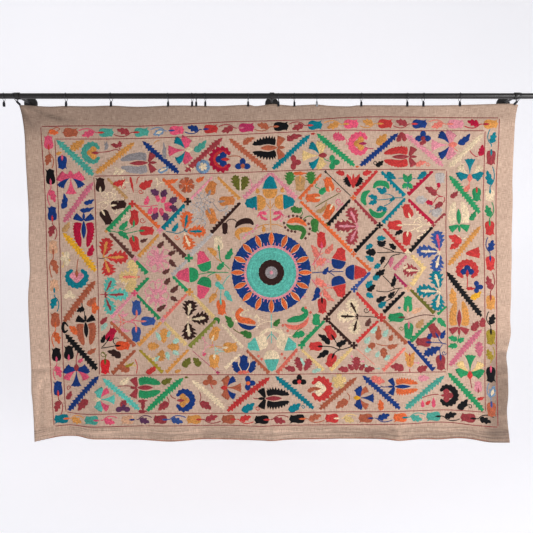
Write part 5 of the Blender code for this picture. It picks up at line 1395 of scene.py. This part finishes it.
def metalFinish(name, shade, roughness, metallic, wearAndReflection):
    # painted or plated metal with faint handling marks, which on the rod also carry a painted warm reflection
    finish = bpy.data.materials.new(name)
    finish.use_nodes = True
    tree = finish.node_tree
    link = tree.links.new
    shader = tree.nodes["Principled BSDF"]
    shader.inputs["Metallic"].default_value = metallic
    place = node(tree, "ShaderNodeTexCoord", (-900, 0))
    marks = node(tree, "ShaderNodeTexNoise", (-700, 0), Scale=90.0, Detail=5.0, Roughness=0.65)
    link(place.outputs["Object"], marks.inputs["Vector"])
    rough = node(tree, "ShaderNodeMapRange", (-450, -200))
    rough.inputs["From Min"].default_value = 0.35
    rough.inputs["From Max"].default_value = 0.7
    rough.inputs["To Min"].default_value = roughness
    rough.inputs["To Max"].default_value = roughness + 0.15
    link(marks.outputs["Fac"], rough.inputs["Value"])
    link(rough.outputs[0], shader.inputs["Roughness"])
    colour = node(tree, "ShaderNodeMix", (-250, 100), data_type="RGBA")
    colour.inputs[6].default_value = (*toLinear(shade), 1)
    colour.inputs[7].default_value = (*toLinear(wearAndReflection), 1)
    link(marks.outputs["Fac"], colour.inputs[0])
    link(colour.outputs[2], shader.inputs["Base Color"])
    return finish


# the rod, rings and clips, in metres
hardware = {
    "rodRadius": 0.012,
    "rodLength": 2.54,
    "rodHeight": 0.0,
    "ringWire": 0.0011,   # radius of the wire
    "softEdge": 0.0004,
}


def takeOver(made, name, finish):
    made.name = f"dressed_{name}"
    made.data.name = made.name
    made.data.materials.clear()
    made.data.materials.append(finish)
    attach(made, "root")
    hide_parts(name)
    made.select_set(False)
    return made


def makeRod(finish):
    bpy.ops.mesh.primitive_cylinder_add(vertices=96, radius=hardware["rodRadius"], depth=hardware["rodLength"],
                                        location=(0, hanging["underRod"], hardware["rodHeight"]),
                                        rotation=(0, math.pi / 2, 0))
    rod = bpy.context.object
    bpy.ops.object.transform_apply(location=True, rotation=True, scale=True)
    bpy.ops.object.shade_smooth_by_angle(angle=math.radians(40))
    return takeOver(rod, "rod", finish)


def makeRing(name, node_, finish):
    # a finer ring in the place and plane of the solid one
    spots = np.array([node_.matrix_world @ vertex.co for vertex in node_.data.vertices])
    centre = (spots.max(axis=0) + spots.min(axis=0)) / 2
    spots = spots - spots.mean(axis=0)
    _, axes = np.linalg.eigh(spots.T @ spots)
    radius = np.linalg.norm(spots, axis=1).max() - hardware["ringWire"]
    facing = Vector(axes[:, 0]).to_track_quat("Z", "Y").to_euler()
    bpy.ops.mesh.primitive_torus_add(major_segments=56, minor_segments=12, major_radius=radius,
                                     minor_radius=hardware["ringWire"], location=centre, rotation=facing)
    ring_ = bpy.context.object
    bpy.ops.object.transform_apply(location=True, rotation=True, scale=True)
    bpy.ops.object.shade_smooth()
    return takeOver(ring_, name, finish)


def makeEased(name, node_, finish):
    # the solid's own form with its edges eased
    mesh = node_.data.copy()
    mesh.transform(node_.matrix_world)
    whole = bmesh.new()
    whole.from_mesh(mesh)
    bmesh.ops.remove_doubles(whole, verts=whole.verts, dist=1e-5)
    bmesh.ops.recalc_face_normals(whole, faces=whole.faces)
    whole.to_mesh(mesh)
    whole.free()
    made = bpy.data.objects.new(name, mesh)
    bpy.context.collection.objects.link(made)
    bpy.context.view_layer.objects.active = made
    made.select_set(True)
    ease = made.modifiers.new("ease", "BEVEL")
    ease.width = hardware["softEdge"]
    ease.segments = 2
    ease.limit_method = "ANGLE"
    ease.angle_limit = math.radians(40)
    bpy.ops.object.modifier_apply(modifier=ease.name)
    bpy.ops.object.shade_smooth_by_angle(angle=math.radians(40))
    return takeOver(made, name, finish)


def makeHardware():
    # on the rod the warm marks are partly handling wear and partly a painted reflection of warm brown light
    rodPaint = metalFinish("black_rod_paint", (18, 16, 17), 0.26, 0.0, (40, 34, 34))
    darkWire = metalFinish("dark_wire", (52, 52, 58), 0.25, 1.0, (90, 90, 96))
    darkClip = metalFinish("dark_clip", (40, 40, 46), 0.32, 1.0, (74, 74, 80))
    brightClip = metalFinish("bright_clip", (190, 190, 194), 0.22, 1.0, (214, 214, 216))
    for name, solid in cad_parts.items():
        if name == "rod":
            makeRod(rodPaint)
        elif name.startswith("ring"):
            makeRing(name, solid, darkWire)
        elif name.startswith("clip"):
            bright = name == "clip_11"
            makeEased(name, solid, brightClip if bright else darkClip)
        elif name != "cloth":
            makeEased(name, solid, rodPaint)


# studio: a pale floor that curves up into a backdrop seen only from the front, and soft light from the right
studio = {
    "floor": -2.0,
    "front": -7.0,
    "wall": 2.6,
    "curve": 1.6,
    "top": 4.5,
    "halfWidth": 9.0,
    "key": 70.0,
    "keyPlace": (2.9, -2.7, -0.55),
    "keyAim": (0.35, -0.12, -0.72),
    "keySize": 1.2,
    "fill": 0.44,
    "glow": 0.37,         # the cove's own light at the left, so that it stays even
    "farGlow": 0.25,      # and at the right
}


def coveFinish():
    finish = bpy.data.materials.new("pale_cove")
    finish.use_nodes = True
    tree = finish.node_tree
    shader = tree.nodes["Principled BSDF"]
    shader.inputs["Base Color"].default_value = (0.93, 0.925, 0.95, 1)
    shader.inputs["Roughness"].default_value = 0.95
    shader.inputs["Specular IOR Level"].default_value = 0.1
    shader.inputs["Emission Color"].default_value = (0.96, 0.955, 1.0, 1)
    place = node(tree, "ShaderNodeTexCoord", (-900, 0))
    parts = node(tree, "ShaderNodeSeparateXYZ", (-700, 0))
    tree.links.new(place.outputs["Object"], parts.inputs[0])
    glow = node(tree, "ShaderNodeMapRange", (-450, 0))
    for name, value in (("From Min", -2.2), ("From Max", 2.2), ("To Min", studio["glow"]), ("To Max", studio["farGlow"])):
        glow.inputs[name].default_value = value
    tree.links.new(parts.outputs["X"], glow.inputs["Value"])
    tree.links.new(glow.outputs[0], shader.inputs["Emission Strength"])
    side = node(tree, "ShaderNodeNewGeometry", (-500, 300))
    clear = node(tree, "ShaderNodeBsdfTransparent", (-200, 400))
    mix = node(tree, "ShaderNodeMixShader", (400, 200))
    tree.links.new(side.outputs["Backfacing"], mix.inputs[0])
    tree.links.new(shader.outputs[0], mix.inputs[1])
    tree.links.new(clear.outputs[0], mix.inputs[2])
    tree.links.new(mix.outputs[0], tree.nodes["Material Output"].inputs["Surface"])
    return finish


def makeCove():
    floor, wall, curve, wide = studio["floor"], studio["wall"], studio["curve"], studio["halfWidth"]
    profile = [(studio["front"], floor)]
    for step in range(17):
        turn = math.radians(90 * step / 16)
        profile.append((wall - curve + curve * math.sin(turn), floor + curve - curve * math.cos(turn)))
    profile.append((wall, studio["top"]))
    mesh = bpy.data.meshes.new("studio_cove")
    points = [(x, y, z) for y, z in profile for x in (-wide, wide)]
    faces = [(2 * row, 2 * row + 1, 2 * row + 3, 2 * row + 2) for row in range(len(profile) - 1)]
    mesh.from_pydata(points, [], faces)
    mesh.shade_smooth()
    mesh.materials.append(coveFinish())
    cove = bpy.data.objects.new("studio_cove", mesh)
    bpy.context.collection.objects.link(cove)


def makeStudio():
    scene = bpy.context.scene
    makeCove()
    world = bpy.data.worlds.new("studio")
    world.use_nodes = True
    scene.world = world
    tree = world.node_tree
    ground = tree.nodes["Background"]
    ground.inputs["Color"].default_value = (0.97, 0.98, 1.0, 1)
    ground.inputs["Strength"].default_value = studio["fill"]
    seenSky = tree.nodes.new("ShaderNodeBackground")
    seenSky.inputs["Color"].default_value = (0.93, 0.925, 0.96, 1)
    seenSky.inputs["Strength"].default_value = 1.0
    path = tree.nodes.new("ShaderNodeLightPath")
    mix = tree.nodes.new("ShaderNodeMixShader")
    tree.links.new(path.outputs["Is Camera Ray"], mix.inputs[0])
    tree.links.new(ground.outputs[0], mix.inputs[1])
    tree.links.new(seenSky.outputs[0], mix.inputs[2])
    tree.links.new(mix.outputs[0], tree.nodes["World Output"].inputs["Surface"])
    light = bpy.data.lights.new("key", "AREA")
    light.shape = "RECTANGLE"
    light.size = studio["keySize"]
    light.size_y = studio["keySize"]
    light.energy = studio["key"]
    lamp = bpy.data.objects.new("key", light)
    lamp.location = studio["keyPlace"]
    aim = Vector(studio["keyAim"]) - lamp.location
    lamp.rotation_euler = aim.to_track_quat("-Z", "Y").to_euler()
    scene.collection.objects.link(lamp)
    camera = bpy.data.cameras.new("camera")
    camera.lens = view["lens"]
    camera.sensor_width = 36
    camera.clip_end = 60
    eye = bpy.data.objects.new("camera", camera)
    eye.location = view["place"]
    eye.rotation_euler = (math.radians(90 - view["tilt"]), 0, 0)
    scene.collection.objects.link(eye)
    scene.camera = eye


def main():
    makeStudio()
    cloth = makeCloth(linenFinish())
    print("cloth hung")
    sewBands()
    sewField()
    sewCells()
    sewMedallion()
    group = stitchGroup()
    pieces = [makeStitches(thread, threadFinish(thread, threads[thread], group)) for thread in piles]
    print("stitches", len(pieces), sum(len(piece.data.polygons) for piece in pieces))
    makeHardware()
    print("hardware fitted")


main()
